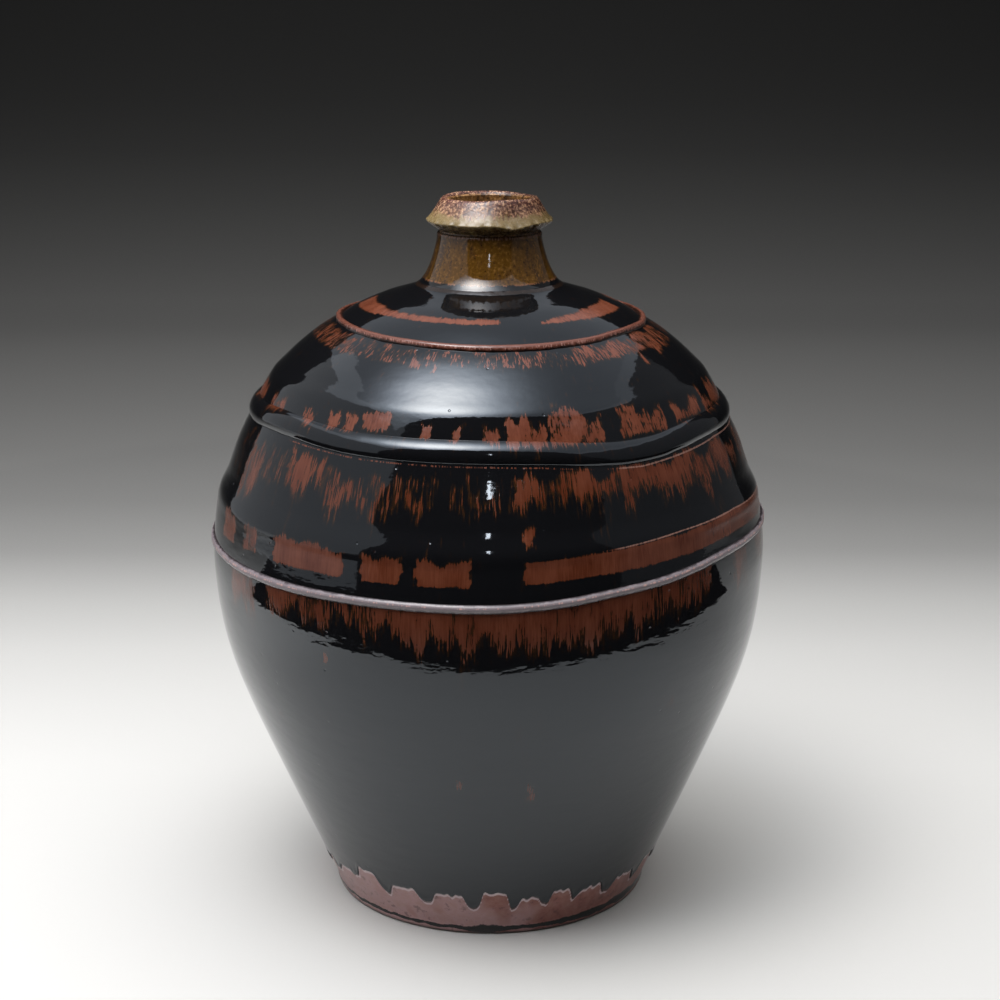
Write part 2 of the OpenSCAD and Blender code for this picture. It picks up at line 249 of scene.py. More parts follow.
class Tree:
    """A node tree that is built one node at a time."""

    def __init__(self, tree):
        self.tree = tree

    def add(self, kind, inputs=None, **settings):
        """A node with its settings and its inputs, which are sockets or plain values."""
        node = self.tree.nodes.new(kind)
        for name, value in settings.items():
            setattr(node, name, value)
        for socket, value in (inputs or {}).items():
            self.feed(node.inputs[socket], value)
        return node

    def feed(self, socket, value):
        """Links a socket to another, or sets it to a plain value."""
        if isinstance(value, bpy.types.NodeSocket):
            self.tree.links.new(value, socket)
        else:
            socket.default_value = value

    def math(self, operation, first, second=0.0):
        """What an operation makes of one or two numbers."""
        return self.add("ShaderNodeMath", {0: first, 1: second}, operation=operation).outputs[0]

    def times(self, *values):
        """The product of fields and numbers."""
        product = values[0]
        for value in values[1:]:
            product = self.math("MULTIPLY", product, value)
        return product

    def weighted(self, *shares):
        """The sum of fields, each times its share."""
        total = self.times(*shares[0])
        for field, share in shares[1:]:
            total = self.math("ADD", total, self.times(field, share))
        return total

    def uneven(self, value, noise, size):
        """A value that a noise from 0 to 1 moves up or down by half a size at most."""
        return self.math("ADD", value, self.times(self.math("SUBTRACT", noise, 0.5), size))

    def vector(self, operation, first, second=None):
        """A sum, product or distance of two vectors, or one vector scaled or normalised."""
        node = self.add("ShaderNodeVectorMath", {0: first}, operation=operation)
        if second is not None:
            self.feed(node.inputs["Scale" if operation == "SCALE" else 1], second)
        return node.outputs["Value" if operation == "DISTANCE" else "Vector"]

    def split(self, vector):
        """The three parts of a vector or a colour."""
        return self.add("ShaderNodeSeparateXYZ", {0: vector}).outputs

    def join(self, x, y, z):
        """A vector of three parts."""
        return self.add("ShaderNodeCombineXYZ", {0: x, 1: y, 2: z}).outputs[0]

    def noise(self, place, scale, detail=2.0, roughness=0.5):
        """A soft noise from 0 to 1."""
        inputs = {"Vector": place, "Scale": scale, "Detail": detail, "Roughness": roughness}
        return self.add("ShaderNodeTexNoise", inputs).outputs[0]

    def ramp_between(self, value, low, high, to_low=0.0, to_high=1.0):
        """A smooth step of value from low to high."""
        inputs = {"Value": value, 1: low, 2: high, 3: to_low, 4: to_high}
        node = self.add("ShaderNodeMapRange", inputs, interpolation_type="SMOOTHSTEP")
        return node.outputs[0]

    def blend(self, mask, first, second, how="MIX"):
        """Colours mixed by a mask."""
        node = self.add("ShaderNodeMix", data_type="RGBA", blend_type=how)
        for socket, value in zip((node.inputs[0], node.inputs[6], node.inputs[7]),
                                 (mask, first, second)):
            self.feed(socket, (*value, 1) if isinstance(value, tuple) else value)
        return node.outputs[2]

    def colours(self, value, stops):
        """A colour ramp through (place, colour) stops."""
        node = self.add("ShaderNodeValToRGB", {0: value})
        ramp = node.color_ramp.elements
        while len(ramp) < len(stops):
            ramp.new(0.5)
        for element, (place, colour) in zip(ramp, stops):
            element.position = place
            element.color = (*colour, 1.0)
        return node.outputs[0]


def new_group(name, kind, inputs, outputs):
    """A node group with named sockets, and its input and output nodes."""
    group = bpy.data.node_groups.new(name, kind)
    for label, socket, default in inputs:
        made = group.interface.new_socket(name=label, in_out="INPUT", socket_type=socket)
        if default is not None:
            made.default_value = default
    for label, socket in outputs:
        group.interface.new_socket(name=label, in_out="OUTPUT", socket_type=socket)
    tree = Tree(group)
    return group, tree, tree.add("NodeGroupInput").outputs, tree.add("NodeGroupOutput").inputs


# ---- The wheel: Geometry Nodes that spin a line into a wall ----

def wheel_group():
    """Spins a profile line around the axis, and lets its cordons wander in height."""
    name = "potter's wheel"
    if name in bpy.data.node_groups:
        return bpy.data.node_groups[name]
    group, tree, given, result = new_group(
        name, "GeometryNodeTree",
        [("Profile", "NodeSocketGeometry", None), ("Columns", "NodeSocketInt", 720),
         ("Wander", "NodeSocketFloat", 1.0), ("Wobble", "NodeSocketFloat", 0.0002),
         ("Throwing Rings", "NodeSocketFloat", 0.00005), ("Ring Spacing", "NodeSocketFloat", 0.006),
         ("Lean", "NodeSocketFloat", 0.0006), ("Seed", "NodeSocketFloat", 7.0),
         ("Material", "NodeSocketMaterial", None)],
        [("Wall", "NodeSocketGeometry")])
    size = tree.add("GeometryNodeAttributeDomainSize", {0: given["Profile"]})
    rows = size.outputs["Point Count"]
    across = tree.math("ADD", given["Columns"], 1.0)
    grid = tree.add("GeometryNodeMeshGrid", {"Size X": 1.0, "Size Y": 1.0, "Vertices X": across,
                                             "Vertices Y": rows})
    index = tree.add("GeometryNodeInputIndex").outputs[0]
    row = tree.add("FunctionNodeIntegerMath", {0: index, 1: rows}, operation="MODULO").outputs[0]
    column = tree.add("FunctionNodeIntegerMath", {0: index, 1: rows},
                      operation="DIVIDE_FLOOR").outputs[0]
    turn = tree.math("DIVIDE", column, given["Columns"])

    def at_row(value, kind="FLOAT"):
        """A value of the profile at this point's row."""
        node = tree.add("GeometryNodeSampleIndex", {"Geometry": given["Profile"]}, data_type=kind)
        tree.feed(node.inputs["Value"], value)
        tree.feed(node.inputs["Index"], row)
        return node.outputs[0]

    def named(label):
        return tree.add("GeometryNodeInputNamedAttribute", {"Name": label}).outputs[0]

    place = at_row(tree.add("GeometryNodeInputPosition").outputs[0], "FLOAT_VECTOR")
    radius, _, height = tree.split(place)
    rise = 0.0
    for label, (rest, run) in RUNS.items():
        curve = tree.add("ShaderNodeFloatCurve", {"Value": turn})
        points = curve.mapping.curves[0].points
        while len(points) < len(run):
            points.new(0.5, 0.5)
        for point, (degree, level) in zip(points, run):
            point.location = (degree / 360 + 0.5, 0.5 + (level * MM - rest) / RUN_RANGE)
        curve.mapping.update()
        shift = tree.times(tree.math("SUBTRACT", curve.outputs[0], 0.5), RUN_RANGE)
        rise = tree.math("ADD", rise, tree.times(shift, at_row(named(label))))
    rise = tree.times(rise, given["Wander"])
    outward = tree.times(rise, at_row(named("slope")))
    new_height = tree.math("ADD", height, rise)
    angle = tree.times(tree.math("SUBTRACT", turn, 0.5), math.tau)
    sine, cosine = tree.math("SINE", angle), tree.math("COSINE", angle)
    direction = tree.join(sine, cosine, tree.times(new_height, 14.0))
    noise = tree.add("ShaderNodeTexNoise", {"Vector": direction, "W": given["Seed"],
                                            "Scale": 1.1, "Detail": 1.5}, noise_dimensions="4D")
    wobble = tree.times(tree.math("SUBTRACT", noise.outputs[0], 0.5), given["Wobble"])
    swing = tree.times(noise.outputs[0], 5.0)
    phase = tree.math("DIVIDE", new_height, given["Ring Spacing"])
    phase = tree.math("ADD", tree.math("ADD", phase, swing), turn)
    ring = tree.times(tree.math("SINE", tree.times(phase, math.tau)), given["Throwing Rings"])
    new_radius = tree.math("ADD", tree.math("ADD", radius, outward), tree.math("ADD", wobble, ring))
    lean = tree.times(given["Lean"], at_row(named("lean")))
    where = tree.join(tree.math("SUBTRACT", tree.times(new_radius, sine), lean),
                      tree.times(new_radius, cosine, -1.0), new_height)
    spun = tree.add("GeometryNodeSetPosition", {"Geometry": grid.outputs[0], "Position": where})
    fields = {"level": height, "skin": at_row(named("skin")), "along": at_row(named("along"))}
    for label, value in fields.items():
        spun = tree.add("GeometryNodeStoreNamedAttribute", {
            "Geometry": spun.outputs[0], "Name": label, "Value": value}, data_type="FLOAT")
    merged = tree.add("GeometryNodeMergeByDistance", {0: spun.outputs[0], "Distance": WELD})
    smooth = tree.add("GeometryNodeSetShadeSmooth", {0: merged.outputs[0]})
    real = tree.add("GeometryNodeRealizeInstances", {0: smooth.outputs[0]})
    coloured = tree.add("GeometryNodeSetMaterial", {0: real.outputs[0],
                                                    "Material": given["Material"]})
    tree.feed(result["Wall"], coloured.outputs[0])
    return group


def path_length(line):
    """How far along a line each of its points lies."""
    steps = np.linalg.norm(np.diff(line, axis=0), axis=1)
    return np.concatenate([[0], np.cumsum(steps)])


def even_steps(line, length, count):
    """A line of (height, radius) points walked again in even steps."""
    even = np.linspace(0, length[-1], count)
    return np.column_stack([np.interp(even, length, line[:, i]) for i in (0, 1)])


def fair_line(points, spacing):
    """A smooth line through (height, radius) points, in even steps of about spacing."""
    known = np.array(points, float)
    ends = (2 * known[0] - known[1], 2 * known[-1] - known[-2])
    padded = np.vstack([ends[0], known, ends[1]])
    line = []
    for before, start, stop, after in zip(padded, padded[1:], padded[2:], padded[3:]):
        chord = np.linalg.norm(stop - start)
        pull = chord / (np.linalg.norm(start - before) + chord)
        push = chord / (np.linalg.norm(after - stop) + chord)
        leave = (stop - before) * pull
        arrive = (after - start) * push
        steps = max(2, int(chord / 0.25))
        t = np.linspace(0, 1, steps, endpoint=False)[:, None]
        line.append((2 * t**3 - 3 * t**2 + 1) * start + (t**3 - 2 * t**2 + t) * leave
                    + (3 * t**2 - 2 * t**3) * stop + (t**3 - t**2) * arrive)
    line = np.vstack(line + [known[-1:]])
    length = path_length(line)
    return even_steps(line, length, max(3, int(round(length[-1] / spacing)) + 1))


WALL_LINE = fair_line(WALL, 0.5) * MM
WALL_PATH = path_length(WALL_LINE)


def wall_radius(height):
    """Radius of the glazed wall at a height."""
    return np.interp(height, WALL_LINE[:, 0], WALL_LINE[:, 1])


def wall_slope(height):
    """How fast the wall's radius grows with height."""
    reach = 1.5 * MM
    return np.clip((wall_radius(height + reach) - wall_radius(height - reach)) / (2 * reach), -2.5, 1)


def run_height(label, theta):
    """Height of a cordon at an angle in degrees from the front."""
    degrees, levels = np.array(RUNS[label][1]).T
    return np.interp(theta, degrees, levels) * MM


def spin(name, outline, material, columns, wobble, rings, wander=1.0, seed=7.0):
    """Spins a closed outline of (height, radius, is outer skin) rows into a wall."""
    outline = np.array(list(outline) + [outline[0]], float)
    mesh = bpy.data.meshes.new(name + "_profile")
    places = [(radius, 0.0, height) for height, radius, _ in outline]
    mesh.from_pydata(places, [(i, i + 1) for i in range(len(places) - 1)], [])
    height = outline[:, 0]
    neck = NECK_FOOT - 4 * MM
    weights = {
        "belly": np.interp(height, [BELLY - 55 * MM, BELLY, STEP], [0, 1, 0]),
        "step": np.interp(height, [BELLY, STEP, EDGE], [0, 1, 0]),
        "edge": np.interp(height, [STEP, EDGE, SHOULDER], [0, 1, 0]),
        "shoulder": np.interp(height, [EDGE, SHOULDER, neck], [0, 1, 0]),
        "slope": wall_slope(height),
        "lean": np.exp(-((height - BELLY) / (70 * MM)) ** 2),
        "along": np.interp(height, WALL_LINE[:, 0], WALL_PATH),
        "skin": outline[:, 2]}
    for label, values in weights.items():
        mesh.attributes.new(label, "FLOAT", "POINT").data.foreach_set("value", values)
    piece = bpy.data.objects.new(name, mesh)
    bpy.context.scene.collection.objects.link(piece)
    wheel = piece.modifiers.new("wheel", "NODES")
    wheel.node_group = wheel_group()
    chosen = {"Columns": columns, "Wander": wander, "Wobble": wobble, "Throwing Rings": rings,
              "Ring Spacing": RING_SPACING, "Seed": seed, "Material": material}
    for socket in wheel.node_group.interface.items_tree:
        if socket.in_out == "INPUT" and socket.name in chosen:
            wheel[socket.identifier] = chosen[socket.name]
    bpy.context.view_layer.update()
    settle(piece, wheel)
    bpy.data.meshes.remove(mesh)
    piece.data.name = name
    turn_outward(piece.data)
    return piece


def settle(piece, modifier):
    """Makes what a piece's modifier gives its own mesh, and takes the modifier off."""
    evaluated = piece.evaluated_get(bpy.context.evaluated_depsgraph_get())
    mesh = bpy.data.meshes.new_from_object(evaluated)
    piece.modifiers.remove(modifier)
    piece.data = mesh


def turn_outward(mesh):
    """Turns every face of a closed shell outward."""
    work = bmesh.new()
    work.from_mesh(mesh)
    bmesh.ops.recalc_face_normals(work, faces=work.faces)
    if work.calc_volume(signed=True) < 0:
        bmesh.ops.reverse_faces(work, faces=work.faces)
    work.to_mesh(mesh)
    work.free()


def places_of(piece):
    """Vertex places of a piece as an array."""
    places = np.zeros(len(piece.data.vertices) * 3, np.float32)
    piece.data.vertices.foreach_get("co", places)
    return places.reshape(-1, 3).astype(float)


def widen(places, scale):
    """Moves places away from the axis."""
    places[:, 0] *= scale
    places[:, 1] *= scale


def put_places(piece, places):
    """Moves a piece's vertices to new places."""
    piece.data.vertices.foreach_set("co", places.astype(np.float32).ravel())
    piece.data.update()


def values_of(piece, label):
    """A field of a piece as an array."""
    attribute = piece.data.attributes[label]
    values = np.zeros(len(piece.data.vertices), np.float32)
    attribute.data.foreach_get("value", values)
    return values.astype(float)


def paint(piece, label, values):
    """Stores a painted field, from 0 to 1, that a glaze material reads."""
    attributes = piece.data.attributes
    attribute = attributes.get(label) or attributes.new(label, "FLOAT", "POINT")
    attribute.data.foreach_set("value", np.asarray(values, np.float32))


def around(places):
    """Angle of each place in degrees from the front, and its distance from the axis."""
    theta = np.degrees(np.arctan2(places[:, 0], -places[:, 1]))
    return theta, np.hypot(places[:, 0], places[:, 1])


def ragged(theta, seed, slowest=18, finest=150):
    """An uneven line around the bottle, from about -1 to 1, that closes on itself."""
    dice = np.random.RandomState(seed)
    line = np.zeros(len(theta))
    power = 0.0
    for _ in range(26):
        turns = int(math.exp(dice.uniform(math.log(slowest), math.log(finest))))
        size = dice.uniform(0.5, 1.0) / turns**0.4
        line += size * np.sin(np.radians(theta) * turns + dice.uniform(0, math.tau))
        power += size**2 / 2
    return np.clip(line / (1.9 * math.sqrt(power)), -1, 1)


def patches(places, rows):
    """How deep each place lies in a list of patches: 0.5 is a patch's edge."""
    theta, radius = around(places)
    height = places[:, 2] / MM
    upper, lower = ragged(theta, 1), ragged(theta, 2, 30, 170)
    theta = theta + 0.3 * np.sin(height * 0.9 + 2 * lower) + 0.15 * np.sin(height * 2.3 + 1)
    deepest = np.full(len(theta), -1.0)
    for start, stop, low_a, low_b, high_a, high_b, soft_low, soft_high, full in rows:
        share = np.clip((theta - start) / (stop - start), 0, 1)
        low = low_a + (low_b - low_a) * share
        high = high_a + (high_b - high_a) * share
        low = low + soft_low * min(1.0, soft_low / 7) * (lower * 0.45 - 0.1)
        high = high - soft_high * min(1.0, soft_high / 1.5) * np.maximum(upper, -0.25) * 1.5
        side = np.minimum(theta - start, stop - theta) * np.radians(radius / MM) / 0.9
        depth = np.minimum(np.minimum((height - low) / soft_low, (high - height) / soft_high), side)
        depth = np.minimum(np.clip(depth, -1, 1), 2 * full - 1)
        deepest = np.maximum(deepest, depth)
    return 0.5 + 0.5 * deepest


def paint_rust(piece, rows):
    """Paints the field that tells a piece's glaze where to break to rust."""
    paint(piece, "rust", patches(places_of(piece), rows))


def band(values, centre, half):
    """1 in the middle of a band, 0.5 at its sides and 0 well outside."""
    return np.clip(1 - 0.5 * np.abs(values - centre) / half, 0, 1)


def gap_from(height, line):
    """A field that is 0.5 on a line, and reaches 0 and 1 at 4 mm from it."""
    return np.clip(0.5 + (height - line) / (8 * MM), 0, 1)


def bump_at(value, centre, width):
    """A soft bump that is 1 at its centre."""
    return np.exp(-((value - centre) / width) ** 2)


# ---- Shader groups ----

def run_group():
    """Streaks and blotches that run down the wall, the same all the way around."""
    name = "glaze runs"
    if name in bpy.data.node_groups:
        return bpy.data.node_groups[name]
    group, tree, given, result = new_group(
        name, "ShaderNodeTree",
        [("Place", "NodeSocketVector", None), ("Fineness", "NodeSocketFloat", 40.0),
         ("Run", "NodeSocketFloat", 70.0)],
        [("Streaks", "NodeSocketFloat"), ("Blotches", "NodeSocketFloat"),
         ("Threads", "NodeSocketFloat")])
    x, y, height = tree.split(given["Place"])
    unit = tree.vector("NORMALIZE", tree.join(x, y, 0.0))

    def noise(fineness, run, detail, roughness, shift):
        """A noise drawn out down the wall."""
        wide = tree.vector("SCALE", unit, tree.times(given["Fineness"], fineness))
        drop = tree.times(height, tree.times(given["Run"], run))
        down = tree.join(0.0, 0.0, tree.math("ADD", drop, shift))
        return tree.noise(tree.vector("ADD", wide, down), 1.0, detail, roughness)

    fine = noise(1.0, 1.0, 3.0, 0.6, 0.0)
    wide = noise(0.35, 0.6, 2.0, 0.5, 9.0)
    threads = noise(4.2, 1.7, 2.0, 0.5, 23.0)
    mixed = tree.weighted((fine, 0.62), (wide, 0.38))
    tree.feed(result["Streaks"], tree.ramp_between(mixed, 0.33, 0.67))
    tree.feed(result["Blotches"], tree.ramp_between(wide, 0.3, 0.7))
    tree.feed(result["Threads"], tree.ramp_between(threads, 0.35, 0.68))
    return group


def skin_group():
    """Fine relief of a fired glaze: a soft peel, pits where gas broke out, and flecks."""
    name = "fired skin"
    if name in bpy.data.node_groups:
        return bpy.data.node_groups[name]
    group, tree, given, result = new_group(
        name, "ShaderNodeTree",
        [("Place", "NodeSocketVector", None), ("Pit Spacing", "NodeSocketFloat", 0.006)],
        [("Peel", "NodeSocketFloat"), ("Pits", "NodeSocketFloat"), ("Flecks", "NodeSocketFloat")])
    wide = tree.vector("MULTIPLY", given["Place"], (1.0, 1.0, 2.6))
    peel = tree.weighted((tree.noise(wide, 85.0, 2.5), 1.0),
                         (tree.noise(given["Place"], 420.0), 0.14))
    tree.feed(result["Peel"], peel)
    often = tree.math("DIVIDE", 1.0, given["Pit Spacing"])
    cells = tree.add("ShaderNodeTexVoronoi", {"Vector": given["Place"], "Scale": often})
    pit = tree.ramp_between(cells.outputs["Distance"], 0.035, 0.09, 1.0, 0.0)
    chance = tree.split(cells.outputs["Color"])
    tree.feed(result["Pits"], tree.times(pit, tree.ramp_between(chance[0], 0.62, 0.66)))
    tree.feed(result["Flecks"], tree.times(pit, tree.ramp_between(chance[1], 0.8, 0.84)))
    return group


def new_material(name):
    """A material with a Principled shader, and object coordinates."""
    material = bpy.data.materials.new(name)
    material.use_nodes = True
    tree = Tree(material.node_tree)
    material.node_tree.nodes.clear()
    shader = tree.add("ShaderNodeBsdfPrincipled")
    tree.add("ShaderNodeOutputMaterial", {"Surface": shader.outputs[0]})
    place = tree.add("ShaderNodeTexCoord").outputs["Object"]
    return material, tree, shader, place


def unrolled(tree, place):
    """The place on the wall, with its height swapped for the distance along the wall."""
    x, y, _ = tree.split(place)
    return tree.join(x, y, painted(tree, "along"))


def group_node(tree, group, inputs):
    """Sockets that a shader group puts out."""
    node = tree.add("ShaderNodeGroup", node_tree=group)
    for label, value in inputs.items():
        tree.feed(node.inputs[label], value)
    return node.outputs


def runs_of(tree, place, fineness, run):
    """Streaks, blotches and threads of a running glaze."""
    return group_node(tree, run_group(), {"Place": place, "Fineness": fineness, "Run": run})


def skin_of(tree, place, spacing):
    """Peel, pits and flecks of a fired glaze, with pits about a spacing apart."""
    return group_node(tree, skin_group(), {"Place": place, "Pit Spacing": spacing})


def painted(tree, label):
    """A painted field of the piece."""
    return tree.add("ShaderNodeAttribute", attribute_name=label).outputs["Fac"]


def finish(tree, shader, colour, rough, height, strength, index=1.56, distance=0.6 * MM):
    """Feeds a colour, a roughness and a relief to a shader, and sets its refractive index."""
    shader.inputs["IOR"].default_value = index
    tree.feed(shader.inputs["Base Color"], colour)
    tree.feed(shader.inputs["Roughness"], rough)
    bump = tree.add("ShaderNodeBump", {"Height": height, "Strength": strength,
                                       "Distance": distance})
    tree.feed(shader.inputs["Normal"], bump.outputs[0])


def breaking_glaze(name, black, thin, rust_dark, rust, rust_light, pink, jag=0.44, gloss=0.045,
                   dull=0.19, fineness=40.0, run=75.0):
    """Glossy black glaze that breaks to streaky rust where the painted field says so."""
    material, tree, shader, place = new_material(name)
    runs = runs_of(tree, unrolled(tree, place), fineness, run)
    skin = skin_of(tree, place, 7 * MM)
    depth = tree.uneven(painted(tree, "rust"), runs["Streaks"], jag)
    depth = tree.uneven(depth, runs["Threads"], jag * 0.9)
    depth = tree.uneven(depth, tree.noise(place, 380.0, 3.0, 0.6), jag * 0.6)
    broken = tree.ramp_between(depth, 0.47, 0.54)
    halo = tree.ramp_between(depth, 0.26, 0.5)
    tone = tree.weighted((runs["Blotches"], 0.25), (depth, 0.55), (runs["Threads"], 0.05))
    rusts = tree.colours(tone, [(0.24, rust_dark), (0.42, rust), (0.95, rust_light)])
    colour = tree.blend(broken, tree.blend(halo, black, thin), rusts)
    off = tree.math("ABSOLUTE", tree.math("SUBTRACT", painted(tree, "line"), 0.5))
    near = tree.ramp_between(off, 0.015, 0.07, 1.0, 0.0)
    share = painted(tree, "line_share")
    crest = tree.uneven(share, runs["Threads"], 0.45)
    pale = tree.ramp_between(tree.times(crest, near), 0.4, 0.56)
    hue = tree.blend(tree.ramp_between(share, 0.55, 0.7), rust_light, pink)
    colour = tree.blend(tree.times(pale, 0.85), colour, hue)
    colour = tree.blend(tree.times(skin["Flecks"], 0.5), colour, rust_dark)
    matt = tree.math("MAXIMUM", tree.times(broken, 0.85), pale)
    rough = tree.ramp_between(matt, 0.0, 1.0, gloss, dull)
    height = tree.weighted((skin["Peel"], 0.3), (broken, -0.05),
                           (tree.times(runs["Threads"], broken), 0.05), (skin["Pits"], -0.3))
    # Painted reflection colour: the glaze's reflections are tinted cool blue, standing in for cool
    # light around the bottle.
    shader.inputs["Specular Tint"].default_value = (0.86, 0.93, 1.0, 1.0)
    finish(tree, shader, colour, rough, height, 0.55, 1.65)
    return material


def crest_glaze(name, base, side, crest, crest_light, nick, gloss, dull):
    """Glaze on a cordon: thin and pale on its crest, pooled dark at its sides."""
    material, tree, shader, place = new_material(name)
    runs = runs_of(tree, unrolled(tree, place), 34.0, 120.0)
    skin = skin_of(tree, place, 3.5 * MM)
    worn = tree.uneven(painted(tree, "crest"), runs["Streaks"], 0.45)
    colour = tree.blend(tree.ramp_between(worn, 0.22, 0.5), base, side)
    colour = tree.blend(tree.ramp_between(worn, 0.5, 0.72), colour, crest)
    light = tree.uneven(painted(tree, "pink"), runs["Threads"], 0.7)
    colour = tree.blend(tree.ramp_between(light, 0.5, 0.66), colour, crest_light)
    nicks = tree.math("MAXIMUM", skin["Pits"], skin["Flecks"])
    colour = tree.blend(tree.times(nicks, 0.8), colour, nick)
    rough = tree.ramp_between(worn, 0.3, 0.75, gloss, dull)
    height = tree.weighted((skin["Peel"], 0.6), (nicks, -0.4))
    finish(tree, shader, colour, rough, height, 0.6)
    return material


def amber_glaze(settings):
    """Runny amber glaze on the neck, with orange specks under the collar."""
    material, tree, shader, place = new_material("amber_glaze_fired")
    runs = runs_of(tree, place, 14.0, 150.0)
    skin = skin_of(tree, place, 2.2 * MM)
    olive, brown, black = tuple(settings.amber), tuple(settings.amber_side), tuple(settings.black)
    tone = tree.weighted((runs["Streaks"], 0.55), (painted(tree, "amber"), 0.6))
    colour = tree.colours(tone, [(0.1, (0.012, 0.006, 0.003)), (0.42, brown), (0.85, olive)])
    grain = tree.noise(place, 760.0, 3.0, 0.7)
    gold = tree.times(tree.ramp_between(grain, 0.5, 0.72), 0.55)
    colour = tree.blend(gold, colour, (0.17, 0.085, 0.022))
    colour = tree.blend(tree.ramp_between(grain, 0.46, 0.32, 0.0, 0.5), colour,
                        (0.012, 0.005, 0.002))
    speck = tree.times(skin["Flecks"], tree.ramp_between(painted(tree, "specks"), 0.2, 0.8))
    colour = tree.blend(speck, colour, (0.5, 0.16, 0.03))
    worn = tree.uneven(painted(tree, "rust"), runs["Threads"], 0.6)
    colour = tree.blend(tree.ramp_between(worn, 0.48, 0.62), colour, (0.13, 0.06, 0.035))
    foot = tree.uneven(painted(tree, "foot"), runs["Threads"], 0.05)
    colour = tree.blend(tree.ramp_between(foot, 0.49, 0.52), black, colour)
    off = tree.math("ABSOLUTE", tree.math("SUBTRACT", foot, 0.5))
    dotted = tree.times(tree.ramp_between(off, 0.01, 0.06, 1.0, 0.0),
                        tree.ramp_between(runs["Streaks"], 0.3, 0.6))
    colour = tree.blend(dotted, colour, (0.12, 0.052, 0.024))
    rough = tree.ramp_between(worn, 0.4, 0.7, 0.05, 0.3)
    height = tree.weighted((skin["Peel"], 0.35), (runs["Streaks"], 0.08))
    finish(tree, shader, colour, rough, height, 0.4, 1.6, 0.4 * MM)
    return material


def ash_glaze(settings):
    """Ash glaze on the collar: olive below, mauve and tan above, crumbly at the lip."""
    material, tree, shader, place = new_material("ash_glaze_fired")
    runs = runs_of(tree, place, 17.0, 260.0)
    skin = skin_of(tree, place, 1.6 * MM)
    crumbs = tree.noise(place, 740.0, 3.0, 0.7)
    up = tree.uneven(painted(tree, "up"), runs["Streaks"], 0.3)
    olive, tan, mauve = (tuple(settings.ash_olive), tuple(settings.ash_tan),
                         tuple(settings.ash_mauve))
    colour = tree.colours(up, [
        (0.0, (0.05, 0.03, 0.012)), (0.16, olive), (0.44, tan), (0.56, (0.15, 0.07, 0.04)),
        (0.78, mauve), (0.95, (0.1, 0.034, 0.025))])
    upper = tree.ramp_between(up, 0.4, 0.58)
    fine = tree.weighted((crumbs, 0.8), (runs["Threads"], 0.12))
    grit = tree.times(tree.ramp_between(fine, 0.49, 0.55), upper, 0.8)
    colour = tree.blend(grit, colour, (0.5, 0.3, 0.17))
    dark = tree.times(tree.ramp_between(fine, 0.44, 0.37), upper, 0.85)
    colour = tree.blend(dark, colour, (0.03, 0.014, 0.009))
    colour = tree.blend(tree.times(skin["Flecks"], 0.8), colour, (0.03, 0.018, 0.008))
    # Painted shade: the collar's colour is darkened towards its right side, where less light falls.
    right_shade_share = tree.times(painted(tree, "flash"), 0.8)
    colour = tree.blend(right_shade_share, colour, (0.4, 0.37, 0.33), "MULTIPLY")
    lip = tree.times(painted(tree, "lip"), tree.ramp_between(crumbs, 0.4, 0.52))
    colour = tree.blend(lip, colour, (0.14, 0.10, 0.045))
    gold = tree.colours(crumbs, [(0.35, (0.02, 0.009, 0.004)), (0.52, (0.13, 0.06, 0.02)),
                                 (0.7, (0.42, 0.25, 0.1))])
    colour = tree.blend(painted(tree, "inside"), colour, gold)
    rough = tree.ramp_between(crumbs, 0.35, 0.65, 0.16, 0.34)
    height = tree.weighted((skin["Peel"], 0.4), (crumbs, 0.45))
    finish(tree, shader, colour, rough, height, 0.7)
    return material


def wash_glaze(settings):
    """Thin iron wash on the bare foot, mauve where it is thick and brown where it is thin."""
    material, tree, shader, place = new_material("foot_wash_fired")
    runs = runs_of(tree, place, 16.0, 130.0)
    skin = skin_of(tree, place, 3 * MM)
    grain = tree.noise(place, 260.0, 4.0, 0.65)
    mauve, brown = tuple(settings.wash_mauve), tuple(settings.wash_brown)
    side = tree.uneven(painted(tree, "mauve"), runs["Blotches"], 0.5)
    colour = tree.blend(tree.ramp_between(side, 0.25, 0.75), brown, mauve)
    colour = tree.blend(tree.ramp_between(grain, 0.4, 0.7, 0.0, 0.5), colour, (0.3, 0.16, 0.13))
    colour = tree.blend(tree.ramp_between(grain, 0.45, 0.3, 0.0, 0.6), colour, (0.05, 0.02, 0.014))
    pale = tree.uneven(painted(tree, "outline"), grain, 0.5)
    colour = tree.blend(tree.ramp_between(pale, 0.4, 0.65), colour, (0.52, 0.42, 0.43))
    pool = tree.uneven(painted(tree, "pool"), runs["Streaks"], 0.35)
    pooled = tree.ramp_between(pool, 0.45, 0.6)
    colour = tree.blend(pooled, colour, (0.008, 0.0075, 0.008))
    # Painted contact shadow: the lowest millimetre or so of the foot darkens to near black where it
    # meets the floor.
    colour = tree.blend(painted(tree, "worn"), colour, (0.02, 0.007, 0.006))
    rough = tree.ramp_between(pooled, 0.0, 1.0, 0.34, 0.08)
    height = tree.weighted((skin["Peel"], 0.4), (grain, 0.35))
    finish(tree, shader, colour, rough, height, 0.6, 1.5)
    return material


def clay_body(settings):
    """Bare fired stoneware, gritty and toasted."""
    material, tree, shader, place = new_material("stoneware_fired")
    skin = skin_of(tree, place, 4 * MM)
    grain = tree.noise(place, 340.0, 5.0, 0.7)
    toast = tree.ramp_between(tree.noise(place, 22.0), 0.35, 0.65)
    colour = tree.blend(toast, tuple(settings.clay), tuple(settings.clay_toasted))
    colour = tree.blend(tree.ramp_between(grain, 0.46, 0.32, 0.0, 0.7), colour, (0.06, 0.03, 0.02))
    colour = tree.blend(tree.times(skin["Flecks"], 0.8), colour, (0.02, 0.012, 0.01))
    rough = tree.ramp_between(grain, 0.3, 0.7, 0.62, 0.85)
    finish(tree, shader, colour, rough, grain, 0.6, 1.5, 0.4 * MM)
    return material


